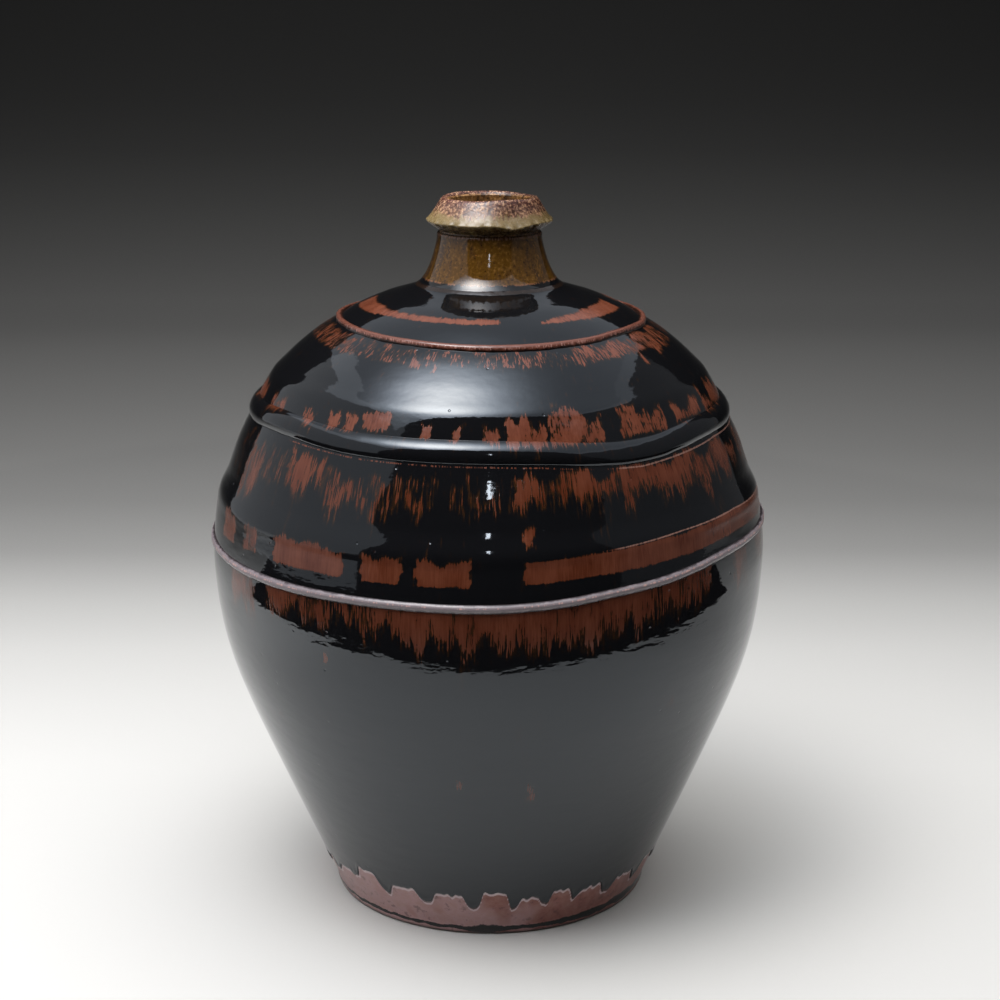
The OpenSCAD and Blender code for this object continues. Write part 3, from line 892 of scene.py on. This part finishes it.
def liner(settings):
    """Brown glaze poured inside, gold where it breaks over the throwing marks."""
    material, tree, shader, place = new_material("liner_glaze_fired")
    runs = runs_of(tree, place, 9.0, 180.0)
    grain = tree.noise(place, 620.0, 4.0, 0.7)
    tone = tree.weighted((grain, 0.7), (runs["Streaks"], 0.3))
    colour = tree.colours(tone, [(0.34, (0.02, 0.009, 0.004)), (0.55, tuple(settings.liner)),
                                 (0.8, (0.42, 0.24, 0.09))])
    rough = tree.ramp_between(grain, 0.3, 0.7, 0.12, 0.4)
    finish(tree, shader, colour, rough, grain, 0.5)
    return material


# ---- Outlines of the coats and the cordons ----

def coat_outline(low, high, thickness, spacing, fold=0.35 * MM):
    """A coat of glaze on the wall between two heights, as a closed outline."""
    keep = (WALL_LINE[:, 0] > low) & (WALL_LINE[:, 0] < high)
    ends = [(low, wall_radius(low))], [(high, wall_radius(high))]
    outer = np.vstack([ends[0], WALL_LINE[keep], ends[1]]) / MM
    length = path_length(outer)
    outer = even_steps(outer, length, max(3, int(length[-1] / spacing) + 1)) * MM
    run = np.gradient(outer, axis=0)
    run /= np.linalg.norm(run, axis=1)[:, None]
    inward = np.column_stack([run[:, 1], -run[:, 0]])
    outer[0] += inward[0] * fold
    outer[-1] += inward[-1] * fold
    inner = (outer + inward * thickness)[::-4]
    rows = [(height, radius, 1.0) for height, radius in outer]
    return rows + [(height, radius, 0.0) for height, radius in inner]


def cordon_outline(rest, half_low, half_high, rise, lean=0.0, depth=1.4 * MM, steps=12):
    """A rounded band across the wall, as a closed outline. It sits at its rest height."""
    rows = []
    slope = wall_slope(np.array([rest]))[0]
    along = np.array([1.0, slope]) / math.hypot(1, slope)
    out = np.array([-along[1], along[0]])
    seat = np.array([rest, wall_radius(rest)])
    for i in range(steps + 1):
        t = i / steps * 2 - 1
        across = t * (half_low if t < 0 else half_high)
        lift = rise * (1 - abs(t) ** 2.2) * (1 + lean * t)
        rows.append((*(seat + along * across + out * lift), 1.0))
    for t in (0.8, 0.0, -0.8):
        across = t * (half_low if t < 0 else half_high)
        rows.append((*(seat + along * across - out * depth), 0.0))
    return rows


# ---- Touching up by hand ----

def let_drips_run(piece, rest):
    """Pulls the bottom of the coat into rounded drips with thick rolled edges."""
    places = places_of(piece)
    theta, radius = around(places)
    level = values_of(piece, "level")
    skin = values_of(piece, "skin")
    edge, share = drip_edge(theta)
    near = np.clip(1 - (level - rest) / (16 * MM), 0, 1)
    height = level + (edge - rest) * near**1.5
    roll = bump_at(height, edge + 1.0 * MM, 1.5 * MM)
    bead = (0.25 + 0.75 * share) * 0.55 * MM * roll * skin
    base = wall_radius(height) - (wall_radius(level) - radius) + bead
    moving = near > 0
    widen(places, np.where(moving, base / radius, 1.0))
    places[:, 2] = np.where(moving, height, places[:, 2])
    put_places(piece, places)


def drip_edge(theta):
    """Height of the glaze's edge at the foot, and how near each angle is to a drip's tip."""
    starts = np.array([peak[0] for peak in DRIP_PEAKS], float)
    tops = np.array([peak[1] for peak in DRIP_PEAKS], float)
    tips = np.array(DRIP_TIPS, float)
    turned = (theta - starts[0]) % 360 + starts[0]
    slot = np.clip(np.searchsorted(starts, turned, side="right") - 1, 0, len(starts) - 1)
    stops = np.append(starts[1:], starts[0] + 360)
    next_top = np.append(tops[1:], tops[0])
    t = (turned - starts[slot]) / (stops[slot] - starts[slot]) * 2 - 1
    top = np.where(t < 0, tops[slot], next_top[slot])
    climb = np.clip((np.abs(t) - 0.1) / 0.42, 0, 1)
    climb = climb**2 * (3 - 2 * climb)
    height = tips[slot] + (top - tips[slot]) * climb
    wavy = 0.5 * ragged(theta, 5, 12, 40) + 0.75 * ragged(theta, 6, 60, 170)
    return (height + wavy) * MM, 1 - climb


def press_collar(piece):
    """Bends the collar's lip, dents its front right and lets its rim wave."""
    places = places_of(piece)
    theta, radius = around(places)
    angle = np.radians(theta)
    height = places[:, 2]
    lip = np.clip((radius - 21 * MM) / (5 * MM), 0, 1)
    dent = bump_at(theta, 22, 13)
    sag = 1.7 * dent + 0.5 * bump_at(theta, -105, 22) + 0.7 * bump_at(theta, 160, 25)
    wave = 0.25 * np.sin(angle * 3 + math.radians(20)) + 0.15 * np.sin(angle * 7)
    places[:, 2] = height - (sag - wave) * MM * lip
    hollow = 0.7 * MM * dent * bump_at(height, RIM - 6.5 * MM, 2.5 * MM)
    crinkle = 0.22 * np.sin(angle * 23) + 0.2 * np.sin(angle * 37 + math.radians(70))
    near_lip = bump_at(radius, 26 * MM, 0.8 * MM)
    widen(places, 1 + (crinkle * MM * near_lip - hollow) / radius)
    rim = bump_at(height, RIM, 1.6 * MM) * (radius > 15 * MM)
    ripple = 0.1 + 0.3 * np.sin(angle * 2 + math.radians(35)) + 0.12 * np.sin(angle * 5)
    places[:, 2] += ripple * MM * rim
    put_places(piece, places)


def pinch_cordon(piece, depth):
    """Small nicks and swellings along a cordon."""
    places = places_of(piece)
    theta, radius = around(places)
    angle = np.radians(theta)
    uneven = (0.4 * np.sin(angle * 7 + 1) + 0.3 * np.sin(angle * 19 + 2)
              + 0.2 * np.sin(angle * 43) + 0.2 * np.sin(angle * 71 + 1.3))
    skin = values_of(piece, "skin")
    widen(places, 1 + uneven * depth * skin / radius)
    put_places(piece, places)


def stand(piece, slot, *nodes):
    """Gives a finished piece its body and hides the CAD nodes it stands for. The slot is not used."""
    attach(piece, "root")
    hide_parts(*nodes)


# ---- Settings ----

def colour_property(label, about, default):
    """A colour that can be set in the panel."""
    return bpy.props.FloatVectorProperty(
        name=label, description=about, default=default, subtype="COLOR", size=3, min=0, max=1)


class GlazeSettings(bpy.types.PropertyGroup):
    """Colours of the clay and the glazes."""

    black: colour_property("Black", "Thick glossy glaze", (0.0038, 0.0039, 0.0046))
    thin: colour_property("Thin Black", "Black glaze where it starts to break", (0.026, 0.011, 0.004))
    rust_dark: colour_property("Dark Rust", "Rust in its darker streaks", (0.026, 0.0055, 0.0017))
    rust: colour_property("Rust", "Rust where the glaze breaks", (0.07, 0.0165, 0.0065))
    rust_light: colour_property("Light Rust", "Rust in its lighter streaks", (0.108, 0.032, 0.016))
    pink: colour_property("Pink", "Pale line on an edge", (0.22, 0.115, 0.09))
    cordon: colour_property("Cordon", "Mauve grey on the belly cordon", (0.165, 0.138, 0.15))
    amber: colour_property("Amber", "Amber glaze at the front of the neck", (0.062, 0.028, 0.004))
    amber_side: colour_property("Dark Amber", "Amber glaze where it is thin", (0.03, 0.0155, 0.008))
    ash_olive: colour_property("Olive Ash", "Ash glaze on the lower collar", (0.145, 0.104, 0.042))
    ash_tan: colour_property("Tan Ash", "Ash glaze on the middle of the collar", (0.19, 0.132, 0.06))
    ash_mauve: colour_property("Mauve Ash", "Ash glaze near the rim", (0.15, 0.077, 0.056))
    wash_mauve: colour_property("Mauve Wash", "Iron wash on the left", (0.36, 0.215, 0.215))
    wash_brown: colour_property("Brown Wash", "Iron wash on the right", (0.21, 0.072, 0.057))
    clay: colour_property("Clay", "Bare fired clay", (0.30, 0.19, 0.13))
    clay_toasted: colour_property("Toasted Clay", "Clay toasted by the fire", (0.17, 0.085, 0.05))
    liner: colour_property("Liner", "Glaze inside the bottle", (0.15, 0.07, 0.022))


class ShapeSettings(bpy.types.PropertyGroup):
    """Sizes that the potter's hand gives the coats."""

    columns: bpy.props.IntProperty(
        name="Columns", description="Steps around the bottle", default=720, min=90, max=1440)
    coat: bpy.props.FloatProperty(
        name="Coat", description="Thickness of the glaze", default=0.0007, unit="LENGTH")
    wobble: bpy.props.FloatProperty(
        name="Wobble", description="How far the wall strays", default=0.0004, unit="LENGTH")
    rings: bpy.props.FloatProperty(
        name="Throwing Rings", description="Height of the rings left by fingers",
        default=0.000004, unit="LENGTH")
    belly_rise: bpy.props.FloatProperty(
        name="Belly Cordon", description="How far it stands out", default=0.0013, unit="LENGTH")
    edge_rise: bpy.props.FloatProperty(
        name="Edge Bead", description="How far it stands out", default=0.0019, unit="LENGTH")
    shoulder_rise: bpy.props.FloatProperty(
        name="Shoulder Cordon", description="How far it stands out", default=0.0015, unit="LENGTH")


class StudioSettings(bpy.types.PropertyGroup):
    """Camera, floor and lights."""

    lens: bpy.props.FloatProperty(
        name="Lens", description="Focal length", default=74.4, unit="CAMERA", min=20)
    pitch: bpy.props.FloatProperty(
        name="Pitch", description="How far the camera looks down", default=math.radians(14.77),
        subtype="ANGLE")
    softbox: bpy.props.FloatProperty(
        name="Softbox", description="Radiance of the softbox overhead", default=14.4)
    fill: bpy.props.FloatProperty(
        name="Fill", description="Radiance of the soft fill overhead", default=2.45)
    cards: bpy.props.FloatProperty(
        name="Cards", description="Radiance of the cards at the sides", default=0.4)
    floor: colour_property("Floor", "Pale paper of the floor", (0.496, 0.492, 0.482))


# Colours of each cordon's glaze at its base, side, crest, pale line and nicks, and its
# roughness at the base and the crest. The belly cordon's crest has a colour of its own.
CREST_GLAZES = {
    "belly_cordon_glaze": (
        (0.03, 0.024, 0.026), (0.11, 0.09, 0.10), None, (0.36, 0.23, 0.21), (0.03, 0.02, 0.02),
        0.12, 0.38),
    "shoulder_cordon_glaze": (
        (0.010, 0.005, 0.004), (0.045, 0.014, 0.008), (0.105, 0.038, 0.026), (0.24, 0.12, 0.10),
        (0.015, 0.008, 0.006), 0.07, 0.22),
    "neck_line_glaze": (
        (0.008, 0.005, 0.004), (0.006, 0.005, 0.005), (0.012, 0.007, 0.005), (0.03, 0.014, 0.008),
        (0.008, 0.005, 0.004), 0.06, 0.15)}


def glaze_of(label):
    """A glaze material of the bottle, mixed the first time it is asked for."""
    settings = bpy.context.scene.sake_glaze
    name = label + "_fired"
    if name in bpy.data.materials:
        return bpy.data.materials[name]
    rusts = {"thin": settings.thin, "rust_dark": settings.rust_dark, "rust": settings.rust,
             "rust_light": settings.rust_light, "pink": settings.pink}
    rusts = {key: tuple(value) for key, value in rusts.items()}
    black = tuple(settings.black)
    if label == "black_glaze":
        return breaking_glaze(name, black, **rusts)
    if label == "dome_glaze":
        paler = {key: tuple(1.22 * c + 0.003 for c in rusts[key]) for key in ("rust", "rust_light")}
        return breaking_glaze(name, black, **{**rusts, **paler}, fineness=30.0, run=170.0)
    if label == "edge_bead_glaze":
        return breaking_glaze(name, black, **rusts, jag=0.5, gloss=0.05)
    if label in CREST_GLAZES:
        base, side, crest, crest_light, nick, gloss, dull = CREST_GLAZES[label]
        crest = crest or tuple(settings.cordon)
        return crest_glaze(name, base, side, crest, crest_light, nick, gloss, dull)
    makers = {"amber_glaze": amber_glaze, "ash_glaze": ash_glaze, "foot_wash": wash_glaze,
              "stoneware": clay_body, "liner_glaze": liner}
    return makers[label](settings)


# ---- Operators ----

class MakingOperator:
    """What the operators share."""

    bl_options = {"REGISTER"}

    def pour(self, context, name, glaze, low, high, spacing):
        """Spins a coat of glaze on the wall between two heights."""
        shape = context.scene.sake_shape
        outline = coat_outline(low, high, shape.coat, spacing)
        return spin(name, outline, glaze_of(glaze), shape.columns, shape.wobble, shape.rings)


class SAKE_OT_stage(MakingOperator, bpy.types.Operator):
    """Set out the floor, the lights and the camera"""

    bl_idname = "sake.stage"
    bl_label = "Stage"

    def execute(self, context):
        settings = context.scene.sake_studio
        self.floor(settings)
        self.lights(settings)
        self.camera(settings)
        world = bpy.data.worlds.new("dark_room")
        world.use_nodes = True
        world.node_tree.nodes["Background"].inputs[0].default_value = (0.012, 0.012, 0.013, 1)
        context.scene.world = world
        context.scene.view_settings.view_transform = "Standard"
        return {"FINISHED"}

    def floor(self, settings):
        """Pale paper that runs back and sweeps up, and a front sheet that glaze does not mirror."""
        paper = self.graded_paper(settings)
        self.sheet("paper_sweep", 1, paper)
        self.sheet("paper_front", -1, paper).visible_glossy = False

    def sheet(self, name, way, material):
        """A sheet from a curved edge before the bottle, back (1) or to the front (-1)."""
        line = [(0.3, 0.0), (0.5, 0.0), (0.9, 0.0), (FLAT_RUN, 0.0)]
        for i in range(1, 17):
            turn = math.radians(90 * i / 16)
            line.append((FLAT_RUN + SWEEP * math.sin(turn), SWEEP * (1 - math.cos(turn))))
        line.append((FLAT_RUN + SWEEP, PAPER_TOP))
        across = [-2.2, -0.9] + [i / 20 for i in range(-10, 11)] + [0.9, 2.2]
        work = bmesh.new()
        front = [min(0.6 * x**2 + 5 * x**4 - 0.33, 0.14) for x in across]
        rows = [[work.verts.new((x, y, 0)) for x, y in zip(across, front)]]
        if way < 0:
            line = [(max(y, 0.36), z) for y, z in line]
        for y, z in line:
            rows.append([work.verts.new((x, y * way, z)) for x in across])
        for row, above in zip(rows, rows[1:]):
            for i in range(len(row) - 1):
                corners = (row[i], row[i + 1], above[i + 1], above[i])
                work.faces.new(corners if way > 0 else corners[::-1])
        mesh = bpy.data.meshes.new(name)
        work.to_mesh(mesh)
        work.free()
        mesh.polygons.foreach_set("use_smooth", [True] * len(mesh.polygons))
        mesh.materials.append(material)
        paper = bpy.data.objects.new(name, mesh)
        bpy.context.scene.collection.objects.link(paper)
        return paper

    def graded_paper(self, settings):
        """Pale paper with painted light: a painted fall-off makes it darker away from the bottle, and
        near the bottle it is painted lighter on the left and shaded on the right.
        """
        material, tree, shader, place = new_material("graded_paper")
        x, y, height = tree.split(place)
        far = tree.math("ADD", tree.math("ABSOLUTE", y), height)
        white = tuple(settings.floor)
        stops = [(spot, tuple(channel * share for channel in white)) for spot, share in PAPER_TONES]
        node = tree.add("ShaderNodeMapRange", {"Value": far, 1: 0.0, 2: 3.0})
        tone = tree.colours(node.outputs[0], stops)
        # Painted light near the bottle: a pool of light painted on the left of the paper, painted
        # shade on the right.
        near = tree.ramp_between(y, 0.02, 0.26, 1.0, 0.0)
        left = tree.ramp_between(x, -0.24, -0.4, 0.0, 0.22)
        right = tree.ramp_between(x, 0.24, 0.4, 0.0, -0.14)
        side = tree.times(tree.math("ADD", left, right), near)
        tone = tree.vector("SCALE", tone, tree.math("ADD", side, 1.0))
        tree.feed(shader.inputs["Base Color"], tone)
        fibre = tree.ramp_between(tree.noise(place, 600.0), 0.2, 0.8, 0.6, 0.7)
        tree.feed(shader.inputs["Roughness"], fibre)
        shader.inputs["Specular IOR Level"].default_value = 0.2
        return material

    def light(self, name, centre, aim, size, tint, radiance):
        """A rectangular lamp that faces a place and isn't seen itself."""
        lamp = bpy.data.lights.new(name, "AREA")
        lamp.shape = "RECTANGLE"
        lamp.size, lamp.size_y = size
        lamp.energy = radiance * math.pi * size[0] * size[1]
        lamp.color = tint
        lamp_object = bpy.data.objects.new(name, lamp)
        lamp_object.location = centre
        way = Vector(aim) - Vector(centre)
        lamp_object.rotation_euler = way.to_track_quat("-Z", "Y").to_euler()
        lamp_object.visible_camera = False
        bpy.context.scene.collection.objects.link(lamp_object)
        return lamp_object

    def hot_spot(self, lamp):
        """Makes a softbox brightest at its front left, and dim towards its edges."""
        lamp.use_nodes = True
        tree = Tree(lamp.node_tree)
        glow = lamp.node_tree.nodes["Emission"]
        place = tree.add("ShaderNodeNewGeometry").outputs["Position"]
        gap = tree.vector("DISTANCE", place, HOT_SPOT)
        strength = tree.math("ADD", tree.math("EXPONENT", tree.times(gap, gap, -9.2)), 0.034)
        tree.feed(glow.inputs["Strength"], strength)
        core = tree.ramp_between(strength, 0.1, 0.9)
        tint = tree.blend(core, (0.88, 0.94, 1.03), (1.07, 1.04, 1.02))
        tree.feed(glow.inputs["Color"], tint)

    def lights(self, settings):
        """A softbox overhead, a pale card at each side and a small strip over the camera."""
        radiance = {"softbox": settings.softbox, "fill": settings.fill,
                    "left_card": settings.cards, "right_card": settings.cards / 5,
                    "window_strip": STRIP_RADIANCE}
        lamps = {name: self.light(name, *LAMPS[name], radiance[name]) for name in LAMPS}
        self.hot_spot(lamps["softbox"].data)
        lamps["fill"].visible_glossy = False

    def camera(self, settings):
        """A camera in front of the bottle that looks a little down on it."""
        lens = bpy.data.cameras.new("studio_camera")
        lens.lens = settings.lens
        lens.sensor_width = 36
        lens.clip_start = 0.05
        view = bpy.data.objects.new("studio_camera", lens)
        view.location = CAMERA_PLACE
        view.rotation_euler = (math.pi / 2 - settings.pitch, 0, CAMERA_TURN)
        bpy.context.scene.collection.objects.link(view)
        bpy.context.scene.camera = view


class SAKE_OT_clay(MakingOperator, bpy.types.Operator):
    """Give the clay walls and the liner their fired surfaces"""

    bl_idname = "sake.clay"
    bl_label = "Clay"

    def execute(self, context):
        clay = ("foot_ring", "floor_disc", "lower_wall", "waist_wall", "shoulder_dome",
                "shoulder_cap")
        for node in clay:
            self.give(node, glaze_of("stoneware"))
        for node in ("neck_tube", "liner_glaze"):
            self.give(node, glaze_of("liner_glaze"))
        return {"FINISHED"}

    def give(self, node, material):
        """Puts a fired material on a CAD node."""
        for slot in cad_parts[node].material_slots:
            slot.material = material


class SAKE_OT_lower_glaze(MakingOperator, bpy.types.Operator):
    """Pour the glaze over the lower wall and let it drip at the foot"""

    bl_idname = "sake.lower_glaze"
    bl_label = "Lower Glaze"

    def execute(self, context):
        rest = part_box("foot_wash")[1].z
        piece = self.pour(context, "lower_coat", "black_glaze", rest, BELLY + 0.5 * MM, 1.5)
        let_drips_run(piece, rest)
        paint_rust(piece, RUST_UNDER_BELLY + SPECKS)
        stand(piece, "black_glaze", "lower_glaze")
        return {"FINISHED"}


class SAKE_OT_foot_wash(MakingOperator, bpy.types.Operator):
    """Brush the iron wash on the foot"""

    bl_idname = "sake.foot_wash"
    bl_label = "Foot Wash"

    def execute(self, context):
        columns = context.scene.sake_shape.columns
        outline = coat_outline(0.4 * MM, 30 * MM, 0.5 * MM, 0.9, 0.25 * MM)
        outline = [(height, radius - 0.35 * MM, skin) for height, radius, skin in outline]
        piece = spin("foot_wash_coat", outline, glaze_of("foot_wash"), columns, 0.15 * MM,
                     0.02 * MM)
        places = places_of(piece)
        theta, radius = around(places)
        height = places[:, 2]
        roll = bump_at(height, 3.0 * MM, 1.3 * MM)
        swell = 0.5 + 0.3 * np.sin(np.radians(theta * 2 + 60)) + 0.45 * bump_at(theta, 0, 9)
        widen(places, 1 + 0.4 * MM * swell * roll * values_of(piece, "skin") / radius)
        put_places(piece, places)
        edge, _ = drip_edge(theta)
        paint(piece, "mauve", 0.5 - 0.5 * np.sin(np.radians(theta)))
        paint(piece, "outline", band(edge - height, 0.4 * MM, 0.85 * MM) * 0.9)
        ripple = 0.6 * ragged(theta, 9, 3, 14) + 0.25 * ragged(theta, 10, 30, 120)
        right = np.clip(np.sin(np.radians(theta - 5)), 0, 1)
        drop = bump_at(theta, -2, 6)
        width = 0.75 + 1.3 * right + 1.6 * drop
        paint(piece, "pool", band(height / MM + ripple, 3.0 + 0.9 * right - 1.0 * drop, width))
        # Painted contact shadow along the bottom of the foot, darkest at the floor and gone about 1.6
        # mm up.
        paint(piece, "worn", np.clip(1.25 - height / (1.3 * MM), 0, 0.9))
        stand(piece, "foot_wash", "foot_wash")
        return {"FINISHED"}


class SAKE_OT_waist_glaze(MakingOperator, bpy.types.Operator):
    """Pour the glaze over the waist, from the belly cordon to the shoulder edge"""

    bl_idname = "sake.waist_glaze"
    bl_label = "Waist Glaze"

    def execute(self, context):
        piece = self.pour(context, "waist_coat", "black_glaze", BELLY - 0.5 * MM,
                          EDGE + 0.5 * MM, 0.95)
        places = places_of(piece)
        theta, _ = around(places)
        height = places[:, 2]
        low = height < STEP + 15 * MM
        paint_rust(piece, RUST_UNDER_STEP + RUST_UNDER_EDGE)
        crest = gap_from(height, run_height("step", theta) - 0.2 * MM)
        under = 1 - gap_from(height, run_height("edge", theta) - 4.2 * MM)
        paint(piece, "line", np.where(low, crest, under))
        crest_share = 0.7 * np.clip(np.minimum(theta - 18, 96 - theta) / 8, 0, 1)
        dotted = 0.52 * np.clip(np.minimum(theta + 54, 26 - theta) / 5, 0, 1)
        solid = 0.72 * np.clip(np.minimum(theta - 22, 100 - theta) / 8, 0, 1)
        paint(piece, "line_share", np.where(low, crest_share, np.maximum(dotted, solid)))
        stand(piece, "black_glaze", "waist_glaze")
        return {"FINISHED"}


class SAKE_OT_dome_glaze(MakingOperator, bpy.types.Operator):
    """Pour the glaze over the dome of the shoulder"""

    bl_idname = "sake.dome_glaze"
    bl_label = "Dome Glaze"

    def execute(self, context):
        piece = self.pour(context, "dome_coat", "dome_glaze", EDGE - 0.5 * MM,
                          SHOULDER + 0.5 * MM, 0.95)
        paint_rust(piece, RUST_FLAMES + RUST_UNDER_SHOULDER)
        stand(piece, "black_glaze", "dome_glaze")
        return {"FINISHED"}


class SAKE_OT_cap_glaze(MakingOperator, bpy.types.Operator):
    """Pour the glaze over the cap, up to the foot of the neck"""

    bl_idname = "sake.cap_glaze"
    bl_label = "Cap Glaze"

    def execute(self, context):
        piece = self.pour(context, "cap_coat", "dome_glaze", SHOULDER - 0.5 * MM,
                          NECK_FOOT + 0.3 * MM, 0.8)
        paint_rust(piece, RUST_ON_CAP)
        stand(piece, "black_glaze", "cap_glaze")
        return {"FINISHED"}


class SAKE_OT_cordons(MakingOperator, bpy.types.Operator):
    """Lay the cordons and the bead over the seams"""

    bl_idname = "sake.cordons"
    bl_label = "Cordons"

    def execute(self, context):
        shape = context.scene.sake_shape
        self.belly(shape)
        self.edge(shape)
        self.shoulder(shape)
        self.neck()
        return {"FINISHED"}

    def cordon(self, name, glaze, outline, columns, wobble=0.4 * MM, nick=0.2 * MM):
        """Spins a cordon and paints how near each place is to its crest."""
        piece = spin(name, outline, glaze_of(glaze), columns, wobble, 0.0)
        rows = np.array(outline)
        outer = rows[rows[:, 2] > 0.5]
        lift = outer[:, 1] - wall_radius(outer[:, 0])
        order = np.argsort(outer[:, 0])
        level = values_of(piece, "level")
        crest = np.interp(level, outer[order, 0], lift[order]) / max(lift.max(), 1e-6)
        paint(piece, "crest", np.clip(crest, 0, 1) * values_of(piece, "skin"))
        pinch_cordon(piece, nick)
        return piece

    def belly(self, shape):
        """The ridge at the belly, with a thin pink line under its crest."""
        outline = cordon_outline(BELLY, 1.9 * MM, 2.1 * MM, shape.belly_rise, 0.15)
        piece = self.cordon("belly_cordon_coat", "belly_cordon_glaze", outline, 1080)
        places = places_of(piece)
        theta, _ = around(places)
        level = values_of(piece, "level")
        line = band(level, BELLY + 0.7 * MM, 0.35 * MM)
        side = 0.52 + 0.25 * np.clip((theta - 15) / 30, 0, 1) + 0.1 * np.sin(np.radians(theta * 5))
        paint(piece, "pink", line * side)
        below = np.clip((BELLY - 0.1 * MM - level) / (1.5 * MM), 0, 1)
        paint(piece, "crest", values_of(piece, "crest") * (1 - 0.55 * below))
        stand(piece, "ridge_clay", "belly_cordon")

    def edge(self, shape):
        """The soft edge of the shoulder."""
        outline = cordon_outline(EDGE + 0.6 * MM, 4.3 * MM, 5.0 * MM, shape.edge_rise, -0.12,
                                 1.6 * MM, 18)
        piece = self.cordon("edge_bead_coat", "edge_bead_glaze", outline, 900, nick=0.06 * MM)
        paint_rust(piece, RUST_FLAMES)
        stand(piece, "ridge_clay", "edge_bead")

    def shoulder(self, shape):
        """The sharp ridge round the shoulder."""
        outline = cordon_outline(SHOULDER, 1.9 * MM, 1.9 * MM, shape.shoulder_rise, 0.0, 1.3 * MM)
        piece = self.cordon("shoulder_cordon_coat", "shoulder_cordon_glaze", outline, 900)
        level = values_of(piece, "level")
        paint(piece, "pink", band(level, SHOULDER + 0.4 * MM, 0.5 * MM) * 0.55)
        stand(piece, "ridge_clay", "shoulder_cordon")

    def neck(self):
        """The thin line at the foot of the neck."""
        outline = cordon_outline(NECK_FOOT, 2.0 * MM, 2.0 * MM, 0.07 * MM, 0.0, 0.9 * MM, 10)
        piece = self.cordon("neck_line_coat", "neck_line_glaze", outline, 540, 0.1 * MM,
                            0.05 * MM)
        level = values_of(piece, "level")
        paint(piece, "pink", band(level, NECK_FOOT + 0.3 * MM, 0.3 * MM) * 0.5)
        stand(piece, "ridge_clay", "neck_fillet")


class SAKE_OT_neck_glaze(MakingOperator, bpy.types.Operator):
    """Pour the amber glaze down the neck"""

    bl_idname = "sake.neck_glaze"
    bl_label = "Neck Glaze"

    def execute(self, context):
        outline = coat_outline(NECK_FOOT - 0.2 * MM, NECK_TOP + 0.4 * MM, 0.6 * MM, 0.7, 0.5 * MM)
        piece = spin("neck_coat", outline, glaze_of("amber_glaze"), 360, 0.25 * MM, 0.0, seed=3.0)
        places = places_of(piece)
        theta, _ = around(places)
        height = places[:, 2]
        front = 0.5 + 0.5 * np.cos(np.radians(theta - 6))
        paint(piece, "amber", np.clip(front * 1.1 - 0.1, 0, 1))
        paint(piece, "specks", np.clip((height - NECK_TOP + 12 * MM) / (8 * MM), 0, 1))
        paint(piece, "rust", band(height, NECK_TOP - 0.3 * MM, 0.7 * MM) * 0.7)
        paint(piece, "foot", gap_from(height, NECK_FOOT + 2.3 * MM))
        stand(piece, "amber_glaze", "neck_glaze")
        return {"FINISHED"}


class SAKE_OT_collar(MakingOperator, bpy.types.Operator):
    """Set the conical collar on the neck and glaze it with ash"""

    bl_idname = "sake.collar"
    bl_label = "Collar"

    def execute(self, context):
        lift = RIM - COLLAR_TOP * MM
        outline = [(height * MM + lift, radius * MM, skin) for height, radius, skin in COLLAR]
        piece = spin("collar_coat", outline, glaze_of("ash_glaze"), 480, 0.5 * MM, 0.0, wander=0.0,
                     seed=2.0)
        self.refine(piece)
        press_collar(piece)
        places = places_of(piece)
        theta, radius = around(places)
        height = places[:, 2]
        outside = radius > 16.9 * MM
        up = np.clip((height - RIM + 11.5 * MM) / (11 * MM), 0, 1)
        paint(piece, "up", np.where(outside, up, 1.0))
        # Painted shade field: 0 on the left of the collar, 1 on its right.
        paint(piece, "flash", 0.5 + 0.5 * np.sin(np.radians(theta - 8)))
        paint(piece, "lip", band(radius, 26.1 * MM, 0.55 * MM) * outside)
        paint(piece, "inside", np.clip((17.2 * MM - radius) / (0.8 * MM), 0, 1))
        stand(piece, "ash_glaze", "mouth_collar", "collar_glaze")
        return {"FINISHED"}

    def refine(self, piece):
        """Rounds the collar with one level of subdivision."""
        smooth = piece.modifiers.new("round", "SUBSURF")
        smooth.levels = smooth.render_levels = 1
        settle(piece, smooth)
        piece.data.name = piece.name


class SAKE_PT_bottle(bpy.types.Panel):
    """The steps of making the bottle"""

    bl_label = "Sake Bottle"
    bl_idname = "SAKE_PT_bottle"
    bl_space_type = "VIEW_3D"
    bl_region_type = "UI"
    bl_category = "Sake Bottle"

    def draw(self, context):
        column = self.layout.column()
        for step in STEPS:
            column.operator(step.bl_idname)
        for group in (context.scene.sake_shape, context.scene.sake_glaze, context.scene.sake_studio):
            for label in group.__annotations__:
                column.prop(group, label)


STEPS = (
    SAKE_OT_stage, SAKE_OT_clay, SAKE_OT_foot_wash, SAKE_OT_lower_glaze, SAKE_OT_waist_glaze,
    SAKE_OT_dome_glaze, SAKE_OT_cap_glaze, SAKE_OT_cordons, SAKE_OT_neck_glaze, SAKE_OT_collar)
GROUPS = {"sake_glaze": GlazeSettings, "sake_shape": ShapeSettings, "sake_studio": StudioSettings}


def register():
    for label, group in GROUPS.items():
        bpy.utils.register_class(group)
        setattr(bpy.types.Scene, label, bpy.props.PointerProperty(type=group))
    for step in (*STEPS, SAKE_PT_bottle):
        bpy.utils.register_class(step)


def unregister():
    for step in reversed((*STEPS, SAKE_PT_bottle)):
        bpy.utils.unregister_class(step)
    for label, group in GROUPS.items():
        delattr(bpy.types.Scene, label)
        bpy.utils.unregister_class(group)


def main():
    """Makes the bottle, one step after another."""
    register()
    for step in STEPS:
        area, verb = step.bl_idname.split(".")
        getattr(getattr(bpy.ops, area), verb)()


if __name__ == "__main__":
    main()
